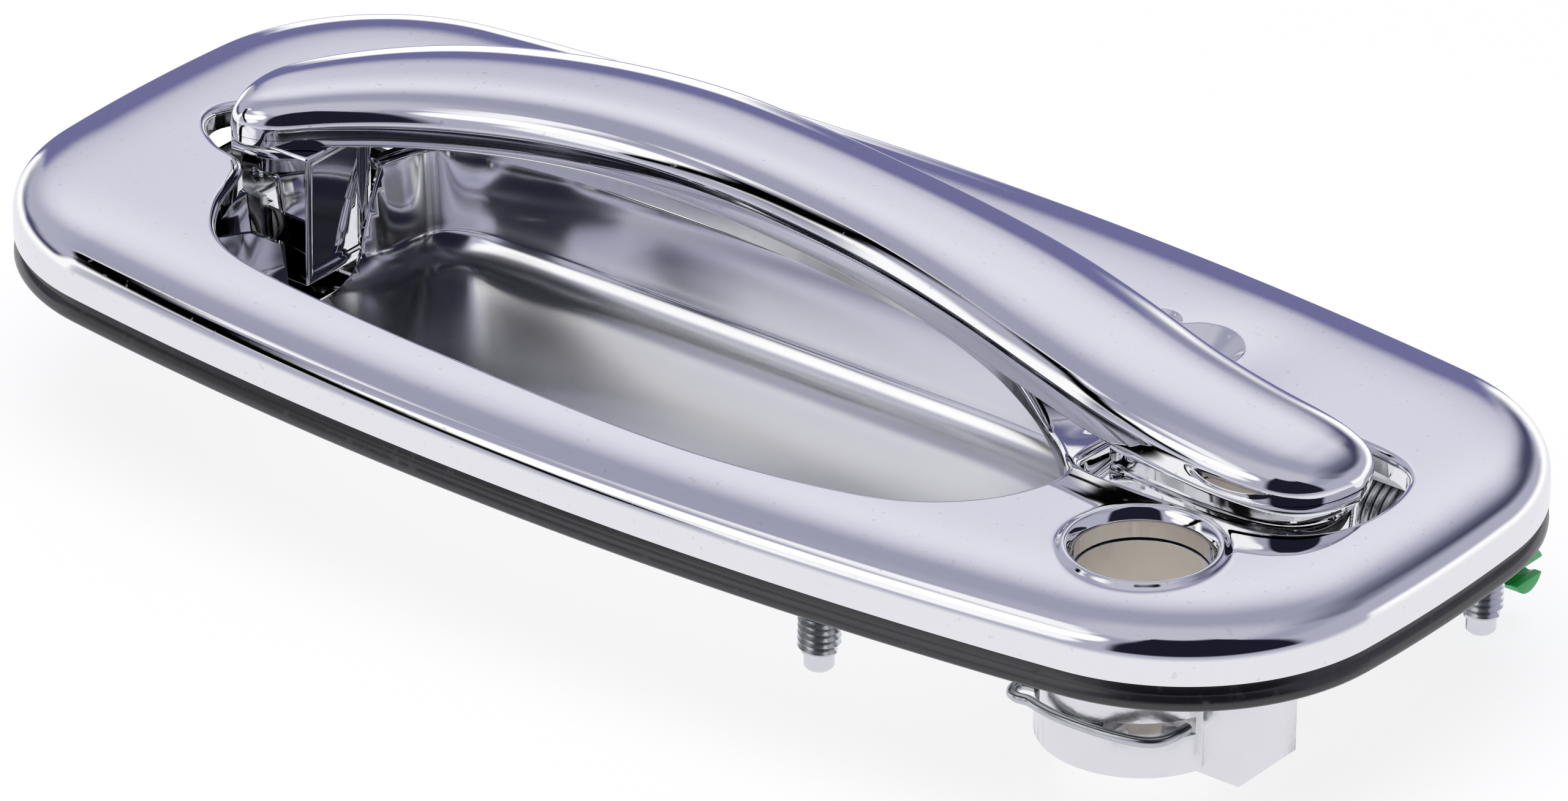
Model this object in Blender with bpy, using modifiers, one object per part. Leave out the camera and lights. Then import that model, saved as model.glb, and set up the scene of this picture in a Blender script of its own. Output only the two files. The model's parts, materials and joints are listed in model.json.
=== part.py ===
"""Car door handle: a chrome strap handle on a rounded rectangular cover plate.

Frame: origin at the centre of the gasket's back face, which lies on the door skin.
+X runs along the handle from the hinge end to the lock end, +Y is across the plate
towards the strap's bulging edge, and +Z points out of the door.
Every named size is in metres.
"""
import math

import bmesh
import bpy
from mathutils import Matrix, Vector

MM = 0.001
GAP = 0.3 * MM                    # air left between pieces that seat on each other

# ---- Driving dimensions: cover plate -------------------------------------------------
PLATE_HALF_LENGTH = 114.0 * MM
PLATE_HALF_WIDTH = 53.7 * MM
PLATE_CORNER = 33.0 * MM
LONG_SIDE_BULGE = 5.8 * MM
SHORT_SIDE_BULGE = 0.5 * MM
PLATE_HEIGHT = 8.2 * MM           # from the rim's lower edge to the flat top
RIM_ROUND = 5.7 * MM
RIM_WALL = 2.4 * MM
PLATE_WALL = 3.4 * MM
SADDLE_DIP = 2.2 * MM             # valley under the strap, between cup and pocket
SADDLE_PLACE = (53.0 * MM, 6.0 * MM)
SADDLE_SIZE = (13.0 * MM, 30.0 * MM)
SADDLE_TURN = -14.0               # degrees about Z
SCOOP_DEPTH = 2.4 * MM
SCOOPS = ((54.0 * MM, 26.6 * MM, 6.5 * MM), (45.6 * MM, 29.3 * MM, 3.0 * MM))

# ---- Gasket --------------------------------------------------------------------------
GASKET_HEIGHT = 4.0 * MM
GASKET_BAND = 4.0 * MM
GASKET_STEP = 1.1 * MM            # how far the upper half is set back

# ---- Finger cup ----------------------------------------------------------------------
CUP_DEPTH = 20.0 * MM             # plate top to cup floor
CUP_SHEET = 1.6 * MM
CUP_FLANGE = 3.0 * MM
CUP_TAB_RADIUS = 3.2 * MM
CUP_FILLET = 5.0 * MM
CUP_DRAFT = 1.6 * MM              # how far the wall leans in over its height
LEG_WINDOW_EDGE = -72.2 * MM      # right edge of the hole for the hinge leg

# ---- Lock housing --------------------------------------------------------------------
LOCK_X = 82.6 * MM
LOCK_Y = -25.8 * MM
LOCK_BORE = 9.0 * MM
LOCK_WALL = 5.0 * MM
LOCK_DEPTH = 15.0 * MM            # tube end below the door skin plane
LOCK_BOX_LENGTH = 19.5 * MM       # box reach along +X from the bore's axis
LOCK_BOX_WIDTH = 13.0 * MM
CLIP_SLOT_Z = -8.0 * MM
CLIP_WIRE = 0.75 * MM
CLIP_SLOT_HEIGHT = 2.0 * CLIP_WIRE + 1.1 * MM
# Retainer wire: degrees about the lock's axis, and millimetres beyond the tube's wall.
CLIP_PATH = ((-25.1, 0.4), (-37.4, 2.1), (-48.8, 3.0), (-61.9, 2.6), (-84.7, 1.2),
             (-106.9, 1.8), (-121.6, 3.2), (-132.2, 3.6), (-140.0, 2.2), (-143.1, 0.0))

# ---- Studs ---------------------------------------------------------------------------
STUD_PLACES = ((41.4 * MM, -42.0 * MM), (105.0 * MM, 22.0 * MM), (-102.0 * MM, 24.0 * MM))
STUD_MAJOR = 3.0 * MM
STUD_MINOR = 2.45 * MM
STUD_PITCH = 1.0 * MM
STUD_DOG_RADIUS = 2.15 * MM
STUD_DOG_LENGTH = 2.5 * MM
STUD_REACH = 13.0 * MM            # stud end below the door skin plane
BOSS_WALL = 2.0 * MM

# ---- Strap grip ----------------------------------------------------------------------
GRIP_CLEARANCE = 0.6 * MM         # strap ends above the plate's top
GRIP_BOW = 3.6 * MM               # how much higher the middle runs
GRIP_HEIGHT = 8.2 * MM            # strap thickness in the middle
GRIP_END_HEIGHT = 6.0 * MM
GRIP_LINER = 1.9 * MM             # height of the liner's visible edge
GRIP_WALL = 1.8 * MM
GRIP_BOW_REACH = 92.0 * MM        # half length over which the strap bows up
GRIP_TAPER_REACH = 96.0 * MM      # half length over which it thins towards its ends
SKIRT_BOTTOM = 3.0 * MM
SKIRT_LEFT = 64.0 * MM
SKIRT_WALL = 2.2 * MM

# ---- Hinge ---------------------------------------------------------------------------
HINGE_X = -89.0 * MM
HINGE_Z = -3.0 * MM
HINGE_PIN_RADIUS = 2.0 * MM
BUSH_WALL = 1.0 * MM
HINGE_HUB = 5.5 * MM
LEG_FRONT_X = -73.5 * MM
LEG_BACK_X = -88.0 * MM
LEG_Y = (-9.8 * MM, 4.6 * MM)
LEG_BOTTOM = -6.0 * MM
EAR_SHEET = 1.8 * MM
RING_SHEET = 0.8 * MM
RING_GROOVE = 0.7 * MM             # depth of the snap-ring grooves
FOOT_SHEET = 1.6 * MM
MOUNT_SCREW_RADIUS = 1.5 * MM
SCREW_HEAD_RADIUS = 2.8 * MM
SCREW_HEAD_HEIGHT = 1.4 * MM
MOUNT_BOSS_Z = 4.5 * MM           # lower face of the screw bosses

# ---- Bellcrank -----------------------------------------------------------------------
CRANK_Y = 29.0 * MM
CRANK_Z = -4.5 * MM
CRANK_ARM = 26.0 * MM
CRANK_REST_ANGLE = 28.7           # degrees below level at rest, the same above when open
CRANK_HUB = 4.2 * MM
CRANK_PIN_RADIUS = 2.5 * MM
CRANK_PAD = 3.0 * MM
INPUT_ARM_X = (71.0 * MM, 77.0 * MM)
OUTPUT_ARM_X = (90.6 * MM, 93.6 * MM)
CRANK_EAR_X = (66.0 * MM, 95.0 * MM)
OUTPUT_PLACE = (42.0 * MM, -14.5 * MM)
OUTPUT_EYE = 2.4 * MM
ROD_RADIUS = 1.5 * MM
CRANK_EAR_RADIUS = 4.4 * MM
WEIGHT_RADIUS = 5.5 * MM
WEIGHT_BORE = 2.6 * MM
WEIGHT_X = (77.4 * MM, 85.6 * MM)
WEIGHT_REACH = 14.0 * MM
WEIGHT_ANGLE = 255.0              # degrees from +Y towards +Z
HOOK_X = (70.5 * MM, 77.5 * MM)
HOOK_GAP = 0.6 * MM               # air between hook and arm pad at rest
HOOK_SHEET = 2.2 * MM
SPRING_WIRE = 0.6 * MM
SPRING_RADIUS = 5.6 * MM
SPRING_TURNS = 6
SPRING_X = (87.4 * MM, 79.4 * MM)  # from the fixed leg to the lifted arm
SPRING_LUG_REACH = 12.0 * MM

PLATE_BOTTOM = GASKET_HEIGHT
PLATE_TOP = PLATE_BOTTOM + PLATE_HEIGHT
UNDERSIDE = PLATE_TOP - PLATE_WALL
CUP_FLOOR = PLATE_TOP - CUP_DEPTH
GRIP_END_Z = PLATE_TOP + GRIP_CLEARANCE
LOCK_TUBE = LOCK_BORE + LOCK_WALL
LIP_HOLE_RADIUS = LOCK_BORE + GAP

CHROME = ("chrome", (0.80, 0.80, 0.84), 0.06, 1.0)
CAST_ZINC = ("plated_casting", (0.66, 0.66, 0.68), 0.30, 1.0)
STEEL = ("zinc_plated_steel", (0.55, 0.56, 0.58), 0.35, 1.0)
SPRING_STEEL = ("spring_steel", (0.40, 0.41, 0.43), 0.28, 1.0)
RUBBER = ("black_rubber", (0.02, 0.02, 0.022), 0.55, 0.0)
NYLON = ("white_nylon", (0.75, 0.74, 0.70), 0.45, 0.0)
GREEN_PLASTIC = ("green_plastic", (0.05, 0.45, 0.12), 0.35, 0.0)
DARK_CASTING = ("dark_casting", (0.20, 0.20, 0.21), 0.45, 1.0)

# Plate openings, as closed curves through a few points (millimetres, in plan).
CUP_OPENING = ((-96.9, -3.4), (-94.0, -7.6), (-88.6, -10.9), (-85.0, -11.4), (-82.7, -13.0),
               (-80.5, -18.1), (-77.8, -24.4), (-72.3, -31.3), (-64.0, -35.3), (-50.0, -37.5),
               (-30.0, -39.4), (0.0, -41.0), (20.0, -40.7), (38.0, -38.0), (50.0, -33.8),
               (58.3, -25.8), (61.6, -16.4), (60.3, -13.2), (51.9, -5.0), (43.1, 1.5),
               (31.0, 8.0), (15.0, 13.5), (-10.0, 17.0), (-40.0, 17.5), (-65.0, 14.0),
               (-80.0, 8.8), (-89.5, 6.6), (-95.3, 1.0))
POCKET_OPENING = ((60.6, -8.0), (61.6, -11.3), (66.0, -12.4), (80.0, -12.2), (91.0, -11.9),
                  (96.4, -9.0), (99.9, -3.8), (100.9, 3.3), (99.6, 10.6), (96.5, 14.8),
                  (89.0, 16.6), (74.0, 17.0), (64.0, 16.6), (60.8, 12.0), (60.4, 2.0))
CUP_MOUTH = ((-81.0, -13.0), (-80.2, -20.0), (-76.5, -27.5), (-69.5, -34.0), (-57.0, -37.6),
             (-38.0, -39.5), (0.0, -41.6), (20.0, -41.3), (38.0, -38.7), (50.0, -34.6),
             (57.0, -28.0), (60.3, -19.0), (60.0, -8.0), (57.5, 4.0), (50.0, 14.0),
             (38.0, 18.5), (10.0, 19.4), (-40.0, 19.6), (-62.0, 19.0), (-74.0, 15.0),
             (-80.0, 5.0))
# Strap edges in plan: near point and far point of each cross-section (millimetres).
GRIP_SECTIONS = (((-87.6, -10.0), (-89.0, -7.2)), ((-85.6, -11.5), (-91.0, -1.5)),
                 ((-80.4, -10.4), (-90.6, 7.0)), ((-73.9, -4.6), (-83.2, 17.4)),
                 ((-65.5, 0.4), (-72.9, 25.6)), ((-55.7, 4.2), (-60.5, 30.8)),
                 ((-44.3, 7.3), (-46.0, 34.0)), ((-31.5, 8.9), (-30.9, 34.8)),
                 ((-17.0, 8.6), (-15.8, 33.3)), ((-1.5, 6.6), (0.3, 31.1)),
                 ((14.0, 4.1), (17.0, 28.6)), ((30.0, 0.3), (34.5, 25.3)),
                 ((47.0, -5.0), (50.5, 20.8)), ((62.0, -9.2), (64.3, 16.2)),
                 ((76.0, -10.7), (76.5, 14.0)), ((88.5, -10.2), (87.2, 13.1)),
                 ((95.0, -7.6), (93.6, 10.8)), ((97.9, -2.6), (97.3, 6.6)))

PARTS = bpy.data.collections.new("car_door_handle")
TOOLS = bpy.data.collections.new("cutters")


# ---- Scene helpers -------------------------------------------------------------------
def clear_scene():
    """Remove whatever the start-up file holds and link the two collections."""
    for item in list(bpy.data.objects):
        bpy.data.objects.remove(item, do_unlink=True)
    bpy.context.scene.collection.children.link(PARTS)
    bpy.context.scene.collection.children.link(TOOLS)


def make_material(finish):
    """Return the Principled material for a (name, colour, roughness, metallic) finish."""
    name, colour, roughness, metallic = finish
    found = bpy.data.materials.get(name)
    if found:
        return found
    made = bpy.data.materials.new(name)
    made.use_nodes = True
    shader = made.node_tree.nodes["Principled BSDF"]
    shader.inputs["Base Color"].default_value = (*colour, 1.0)
    shader.inputs["Roughness"].default_value = roughness
    shader.inputs["Metallic"].default_value = metallic
    made.diffuse_color = (*colour, 1.0)
    return made


def add_part(name, shape, finish, origin=(0.0, 0.0, 0.0)):
    """Turn a bmesh into a named part whose origin is the given point."""
    shape.transform(Matrix.Translation(-Vector(origin)))
    mesh = bpy.data.meshes.new(name)
    shape.to_mesh(mesh)
    shape.free()
    mesh.materials.append(make_material(finish))
    part = bpy.data.objects.new(name, mesh)
    part.location = origin
    PARTS.objects.link(part)
    return part


def combine(part, label, shapes, operation):
    """Join or cut a part with helper shapes, all in one Boolean modifier."""
    group = bpy.data.collections.new(f"{part.name}_{label}")
    TOOLS.children.link(group)
    for index, shape in enumerate(shapes):
        mesh = bpy.data.meshes.new(f"{part.name}_{label}_{index}")
        shape.to_mesh(mesh)
        shape.free()
        helper = bpy.data.objects.new(mesh.name, mesh)
        helper.hide_render = True
        helper.display_type = 'WIRE'
        group.objects.link(helper)
    modifier = part.modifiers.new(label, 'BOOLEAN')
    modifier.operation = operation
    modifier.solver = 'EXACT'
    modifier.operand_type = 'COLLECTION'
    modifier.collection = group


def cut(part, label, *shapes):
    combine(part, label, shapes, 'DIFFERENCE')


def join(part, label, *shapes):
    combine(part, label, shapes, 'UNION')


# ---- Curves in plan ------------------------------------------------------------------
def spline(points, steps, closed=False):
    """Catmull-Rom curve through the points, with a number of steps on each span."""
    count = len(points)
    spans = count if closed else count - 1
    curve = []
    for span in range(spans):
        ends = [points[(span + k) % count] if closed
                else points[min(max(span + k, 0), count - 1)] for k in (-1, 0, 1, 2)]
        for step in range(steps):
            t = step / steps
            weights = (-t + 2 * t * t - t ** 3, 2 - 5 * t * t + 3 * t ** 3,
                       t + 4 * t * t - 3 * t ** 3, -t * t + t ** 3)
            curve.append(tuple(0.5 * sum(w * p[axis] for w, p in zip(weights, ends))
                               for axis in range(len(points[0]))))
    if not closed:
        curve.append(tuple(points[-1]))
    return curve


def outline(points_mm, steps=2):
    """Closed plan curve in metres through points given in millimetres."""
    return [(x * MM, y * MM) for x, y in spline(points_mm, steps, closed=True)]


def offset(curve, distance):
    """Move each point of a closed anticlockwise curve outwards by a distance."""
    moved = []
    count = len(curve)
    for index, (x, y) in enumerate(curve):
        before = Vector(curve[index - 1])
        after = Vector(curve[(index + 1) % count])
        along = (after - before).normalized()
        moved.append((x + along.y * distance, y - along.x * distance))
    return moved


def arc(start, end, sagitta, steps):
    """Points and outward normals of a shallow arc that bulges to the right of its chord."""
    start, end = Vector(start), Vector(end)
    chord = end - start
    radius = (chord.length_squared / 4 + sagitta ** 2) / (2 * sagitta)
    outward = Vector((chord.y, -chord.x)).normalized()
    centre = (start + end) / 2 - outward * (radius - sagitta)
    first = start - centre
    swing = 2 * math.asin(chord.length / 2 / radius)
    turned = [Matrix.Rotation(swing * k / steps, 2) @ first for k in range(steps + 1)]
    return [(centre + spoke, spoke.normalized()) for spoke in turned]


def plate_outline(inset):
    """The plate's rounded rectangle with bulging sides, moved in by an inset."""
    corner = PLATE_CORNER - inset
    core_x = PLATE_HALF_LENGTH - PLATE_CORNER - SHORT_SIDE_BULGE
    core_y = PLATE_HALF_WIDTH - PLATE_CORNER - LONG_SIDE_BULGE
    corners = ((core_x, -core_y), (core_x, core_y), (-core_x, core_y), (-core_x, -core_y))
    sides = [arc(corners[k], corners[(k + 1) % 4],
                 SHORT_SIDE_BULGE if k % 2 == 0 else LONG_SIDE_BULGE,
                 2 if k % 2 == 0 else 12) for k in range(4)]
    points = []
    for k, side in enumerate(sides):
        points += [tuple(place + normal * corner) for place, normal in side]
        hub, leaving = side[-1]
        swing = leaving.angle_signed(sides[(k + 1) % 4][0][1])
        for step in range(1, 8):
            spoke = Matrix.Rotation(-swing * step / 8, 2) @ leaving
            points.append(tuple(hub + spoke * corner))
    return points


# ---- Solids --------------------------------------------------------------------------
def prism(points, bottom, top):
    """Upright prism on a closed plan curve."""
    shape = bmesh.new()
    base = shape.faces.new([shape.verts.new((x, y, bottom)) for x, y in points])
    lifted = bmesh.ops.extrude_face_region(shape, geom=[base])["geom"]
    bmesh.ops.translate(shape, vec=(0, 0, top - bottom),
                        verts=[v for v in lifted if isinstance(v, bmesh.types.BMVert)])
    bmesh.ops.recalc_face_normals(shape, faces=shape.faces)
    return shape


def round_over(shape, height, width, segments):
    """Bevel every edge that lies at one height."""
    edges = [e for e in shape.edges if all(abs(v.co.z - height) < 1e-6 for v in e.verts)]
    bmesh.ops.bevel(shape, geom=edges, offset=width, segments=segments, profile=0.5,
                    affect='EDGES')
    return shape


def box(x, y, z):
    """Box between two limits along each axis."""
    shape = bmesh.new()
    bmesh.ops.create_cube(shape, size=1.0)
    size = Vector((x[1] - x[0], y[1] - y[0], z[1] - z[0]))
    middle = Vector((x[1] + x[0], y[1] + y[0], z[1] + z[0])) / 2
    shape.transform(Matrix.Translation(middle) @ Matrix.Diagonal((*size, 1.0)))
    return shape


def cylinder(radius, low, high, centre, axis='Z', sides=24):
    """Cylinder along an axis; centre gives the two other coordinates in order."""
    shape = bmesh.new()
    bmesh.ops.create_cone(shape, cap_ends=True, segments=sides, radius1=radius,
                          radius2=radius, depth=high - low)
    middle = (low + high) / 2
    if axis == 'Z':
        place = Matrix.Translation((centre[0], centre[1], middle))
    elif axis == 'X':
        place = (Matrix.Translation((middle, centre[0], centre[1]))
                 @ Matrix.Rotation(math.pi / 2, 4, 'Y'))
    else:
        place = (Matrix.Translation((centre[0], middle, centre[1]))
                 @ Matrix.Rotation(-math.pi / 2, 4, 'X'))
    shape.transform(place)
    return shape


def turned(name, profile, finish, steps, place=(0.0, 0.0, 0.0), rotation=(0.0, 0.0, 0.0),
           pivot=None):
    """Part turned about its own Z from a (radius, height) profile that runs downwards.

    A piece that moves but is turned about another line is parented to an empty on the
    joint's axis.
    """
    mesh = bpy.data.meshes.new(name)
    edges = [(k, k + 1) for k in range(len(profile) - 1)]
    mesh.from_pydata([(radius, 0.0, height) for radius, height in profile], edges, [])
    mesh.materials.append(make_material(finish))
    part = bpy.data.objects.new(name, mesh)
    part.rotation_euler = rotation
    PARTS.objects.link(part)
    part.location = place
    if pivot:
        part.parent = joint_empty(pivot)
        part.location = Vector(place) - Vector(pivot)
    turn = part.modifiers.new("turn", 'SCREW')
    turn.axis = 'Z'
    turn.steps = steps
    turn.render_steps = steps
    turn.use_merge_vertices = True
    turn.merge_threshold = 0.01 * MM
    turn.use_normal_calculate = False
    return part


def joint_empty(place):
    """The empty that marks a joint's axis, made once for each place."""
    name = f"joint_{round(place[0] / MM)}_{round(place[2] / MM)}"
    found = bpy.data.objects.get(name)
    if found:
        return found
    marker = bpy.data.objects.new(name, None)
    marker.location = place
    TOOLS.objects.link(marker)
    return marker


def loft(rings):
    """Closed skin through rings of equal length, with a flat cap at each end."""
    shape = bmesh.new()
    rows = [[shape.verts.new(point) for point in ring] for ring in rings]
    count = len(rows[0])
    for row, following in zip(rows, rows[1:]):
        for k in range(count):
            shape.faces.new((row[k], row[(k + 1) % count],
                             following[(k + 1) % count], following[k]))
    shape.faces.new(rows[0][::-1])
    shape.faces.new(rows[-1])
    bmesh.ops.recalc_face_normals(shape, faces=shape.faces)
    bmesh.ops.triangulate(shape, faces=shape.faces)
    return shape


def wire(name, points, radius, finish, origin):
    """Round wire along a list of points, as one closed mesh."""
    curve = bpy.data.curves.new(name, 'CURVE')
    curve.dimensions = '3D'
    curve.bevel_depth = radius
    curve.bevel_resolution = 2
    curve.use_fill_caps = True
    path = curve.splines.new('POLY')
    path.points.add(len(points) - 1)
    for slot, point in zip(path.points, points):
        slot.co = (*point, 1.0)
    guide = bpy.data.objects.new(f"{name}_path", curve)
    TOOLS.objects.link(guide)
    bpy.context.view_layer.update()
    mesh = bpy.data.meshes.new_from_object(guide.evaluated_get(
        bpy.context.evaluated_depsgraph_get()))
    bpy.data.objects.remove(guide)
    shape = bmesh.new()
    shape.from_mesh(mesh)
    bmesh.ops.remove_doubles(shape, verts=shape.verts, dist=0.001 * MM)
    return add_part(name, shape, finish, origin)


# ---- Places shared by several pieces -------------------------------------------------
def polar(radius, degrees, centre):
    """Point at a radius and an angle about a centre, such as (y, z) from +Y towards +Z."""
    turn = math.radians(degrees)
    return centre[0] + radius * math.cos(turn), centre[1] + radius * math.sin(turn)


CRANK_AXIS = (CRANK_Y, CRANK_Z)
PAD_PLACE = polar(CRANK_ARM, 180.0 + CRANK_REST_ANGLE, CRANK_AXIS)
WEIGHT_PLACE = polar(WEIGHT_REACH, WEIGHT_ANGLE, CRANK_AXIS)
HINGE_AXIS = (HINGE_X, HINGE_Z)
HINGE_PIVOT = (HINGE_X, 0.0, HINGE_Z)
NEAR_EAR_Y = LEG_Y[0] - 2.0 * MM
FAR_EAR_Y = LEG_Y[1] + 2.0 * MM
HINGE_SCREWS = ((-92.0 * MM, NEAR_EAR_Y - 8.0 * MM), (-92.0 * MM, FAR_EAR_Y + 8.0 * MM))
CRANK_SCREWS = ((72.0 * MM, CRANK_Y + 3.4 * MM), (91.4 * MM, CRANK_Y + 3.4 * MM))
CUP_SCREWS = ((-67.5 * MM, -40.6 * MM), (55.5 * MM, -37.4 * MM),
              (-30.0 * MM, 24.6 * MM), (35.0 * MM, 24.0 * MM))
GRIP_SCREW_PLACES = ((-55.0 * MM, 16.5 * MM), (20.0 * MM, 15.5 * MM))
CUP_FLANGE_TOP = UNDERSIDE - GAP


def boss(place, radius, sides=16):
    """Round boss that hangs from the plate's underside."""
    return cylinder(radius + BOSS_WALL, MOUNT_BOSS_Z, UNDERSIDE + MM, place, sides=sides)


def blind_hole(place, radius, low, depth=1.6 * MM, sides=16):
    """Cutter for a hole that ends a little way into the plate's wall."""
    return cylinder(radius + GAP, low, UNDERSIDE + depth, place, sides=sides)


def screw(name, place, seat, length, origin=None):
    """Pan-head screw driven upwards, its head against a seat."""
    head_top = seat - GAP
    head_low = head_top - SCREW_HEAD_HEIGHT
    tip = seat + length
    profile = [(0.0, tip), (MOUNT_SCREW_RADIUS - 0.4 * MM, tip),
               (MOUNT_SCREW_RADIUS, tip - 0.5 * MM), (MOUNT_SCREW_RADIUS, head_top),
               (SCREW_HEAD_RADIUS, head_top), (SCREW_HEAD_RADIUS, head_low + 0.5 * MM),
               (SCREW_HEAD_RADIUS - 0.6 * MM, head_low), (0.0, head_low)]
    turned(name, profile, STEEL, 16, (place[0], place[1], 0.0), pivot=origin)


# ---- Fixed pieces --------------------------------------------------------------------
def build_bezel_plate():
    body = round_over(prism(plate_outline(0.0), PLATE_BOTTOM, PLATE_TOP), PLATE_TOP,
                      RIM_ROUND, 6)
    plate = add_part("bezel_plate", body, CHROME)
    hollow = prism(plate_outline(RIM_WALL), PLATE_BOTTOM - MM, UNDERSIDE)
    cut(plate, "hollow", round_over(hollow, UNDERSIDE, RIM_ROUND - RIM_WALL, 4))
    bracket_screws = HINGE_SCREWS + CRANK_SCREWS
    bosses = [boss(place, STUD_MAJOR, 20) for place in STUD_PLACES]
    bosses += [boss(place, MOUNT_SCREW_RADIUS) for place in bracket_screws]
    join(plate, "bosses", *bosses)
    low = MOUNT_BOSS_Z - MM
    holes = [blind_hole(place, STUD_MAJOR, low, sides=20) for place in STUD_PLACES]
    holes += [blind_hole(place, MOUNT_SCREW_RADIUS, low) for place in bracket_screws]
    holes += [blind_hole(place, MOUNT_SCREW_RADIUS, UNDERSIDE - MM) for place in CUP_SCREWS]
    above = PLATE_TOP + MM
    below = UNDERSIDE - 2 * MM
    holes.append(prism(outline(CUP_OPENING), below, above))
    holes.append(prism(outline(POCKET_OPENING), below, above))
    holes.append(cylinder(LIP_HOLE_RADIUS, below, above, (LOCK_X, LOCK_Y), sides=40))
    for x, y, radius in SCOOPS:
        scoop = bmesh.new()
        bmesh.ops.create_uvsphere(scoop, u_segments=20, v_segments=12, radius=radius)
        scoop.transform(Matrix.Translation((x, y, PLATE_TOP + radius - SCOOP_DEPTH)))
        holes.append(scoop)
    saddle = cylinder(1.0, -0.5, 0.5, (0.0, 0.0), axis='Y', sides=48)
    saddle.transform(Matrix.Translation((*SADDLE_PLACE, PLATE_TOP))
                     @ Matrix.Rotation(math.radians(SADDLE_TURN), 4, 'Z')
                     @ Matrix.Diagonal((*SADDLE_SIZE, SADDLE_DIP, 1.0)))
    holes.append(saddle)
    cut(plate, "openings", *holes)


def build_gasket():
    """Rubber ring with a set-back upper half, seated under the rim."""
    top = PLATE_BOTTOM - GAP
    middle = PLATE_BOTTOM / 2
    rings = ((0.0, 0.0), (0.4 * MM, middle), (GASKET_STEP, middle + 0.4 * MM),
             (GASKET_STEP, top), (GASKET_BAND, top), (GASKET_BAND, 0.0))
    shape = bmesh.new()
    rows = [[shape.verts.new((x, y, z)) for x, y in plate_outline(inset)]
            for inset, z in rings]
    count = len(rows[0])
    for row, following in zip(rows, rows[1:] + rows[:1]):
        for k in range(count):
            shape.faces.new((row[k], row[(k + 1) % count],
                             following[(k + 1) % count], following[k]))
    bmesh.ops.recalc_face_normals(shape, faces=shape.faces)
    add_part("rim_gasket", shape, RUBBER)


def build_finger_cup():
    """Deep dished pan under the plate's big opening, with a flange round its mouth."""
    mouth = outline(CUP_MOUTH)
    outer_steps = [(CUP_FLANGE, CUP_FLANGE_TOP), (0.0, CUP_FLANGE_TOP),
                   (-CUP_DRAFT, CUP_FLOOR + CUP_FILLET)]
    for step in range(1, 4):
        turn = math.pi / 2 * step / 3
        outer_steps.append((-CUP_DRAFT - CUP_FILLET * (1 - math.cos(turn)),
                            CUP_FLOOR + CUP_FILLET * (1 - math.sin(turn))))
    inner = [[(x, y, z) for x, y in offset(mouth, shift)] for shift, z in outer_steps]
    sheet = CUP_SHEET
    lower_steps = [(CUP_FLANGE, CUP_FLANGE_TOP - sheet), (sheet, CUP_FLANGE_TOP - sheet)]
    lower_steps += [(shift + sheet, z - 0.4 * sheet) for shift, z in outer_steps[2:-1]]
    lower_steps.append((outer_steps[-1][0] + 0.3 * sheet, CUP_FLOOR - sheet))
    outer = [[(x, y, z) for x, y in offset(mouth, shift)] for shift, z in lower_steps]
    cup = add_part("finger_cup", loft(inner[::-1] + outer), CHROME)
    tabs = [cylinder(CUP_TAB_RADIUS, CUP_FLANGE_TOP - sheet, CUP_FLANGE_TOP, place, sides=20)
            for place in CUP_SCREWS]
    join(cup, "tabs", *tabs)
    window = box((-110.0 * MM, LEG_WINDOW_EDGE),
                 (NEAR_EAR_Y - EAR_SHEET - MM, FAR_EAR_Y + EAR_SHEET + 1.2 * MM),
                 (CUP_FLOOR - 4 * MM, PLATE_TOP))
    stud_notch = cylinder(STUD_MAJOR + BOSS_WALL + GAP, -2.0 * MM, PLATE_TOP, STUD_PLACES[0],
                          sides=20)
    pocket_side = box((57.0 * MM, 75.0 * MM), (-11.6 * MM, 17.4 * MM),
                      (CUP_FLANGE_TOP - sheet - MM, PLATE_TOP))
    holes = [cylinder(MOUNT_SCREW_RADIUS + GAP, CUP_FLANGE_TOP - 2 * sheet,
                      CUP_FLANGE_TOP + MM, place, sides=16) for place in CUP_SCREWS]
    cut(cup, "openings", window, stud_notch, pocket_side, *holes)


def build_lock_housing():
    """Cast tube for the lock cylinder with a square lug on its +X side."""
    top = UNDERSIDE - GAP
    centre = (LOCK_X, LOCK_Y)
    tube = add_part("lock_housing", cylinder(LOCK_TUBE, -LOCK_DEPTH, top, centre, sides=48),
                    CAST_ZINC)
    lug_y = (LOCK_Y - 4.0 * MM, LOCK_Y - 4.0 * MM + LOCK_BOX_WIDTH)
    join(tube, "lug", box((LOCK_X + 5.0 * MM, LOCK_X + LOCK_BOX_LENGTH), lug_y,
                          (-LOCK_DEPTH - 0.6 * MM, 3.0 * MM)))
    slot = (CLIP_SLOT_Z - CLIP_SLOT_HEIGHT / 2, CLIP_SLOT_Z + CLIP_SLOT_HEIGHT / 2)
    cut(tube, "bore_and_slots",
        cylinder(LOCK_BORE, -LOCK_DEPTH - 2 * MM, top + MM, centre, sides=48),
        box((LOCK_X + 4.0 * MM, LOCK_X + 22.0 * MM),
            (LOCK_Y - 20.0 * MM, LOCK_Y - 5.0 * MM), slot),
        box((LOCK_X - 22.0 * MM, LOCK_X - 8.0 * MM),
            (LOCK_Y - 20.0 * MM, LOCK_Y - 4.0 * MM), slot))


def build_lock_retainer_clip():
    """Bent spring wire that sits in the housing's slots and holds the lock cylinder."""
    points = []
    for degrees, beyond in spline(CLIP_PATH, 3):
        x, y = polar(LOCK_TUBE + beyond * MM, degrees, (LOCK_X, LOCK_Y))
        points.append((x, y, CLIP_SLOT_Z))
    wire("lock_retainer_clip", points, CLIP_WIRE, SPRING_STEEL,
         (LOCK_X, LOCK_Y, CLIP_SLOT_Z))


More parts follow.
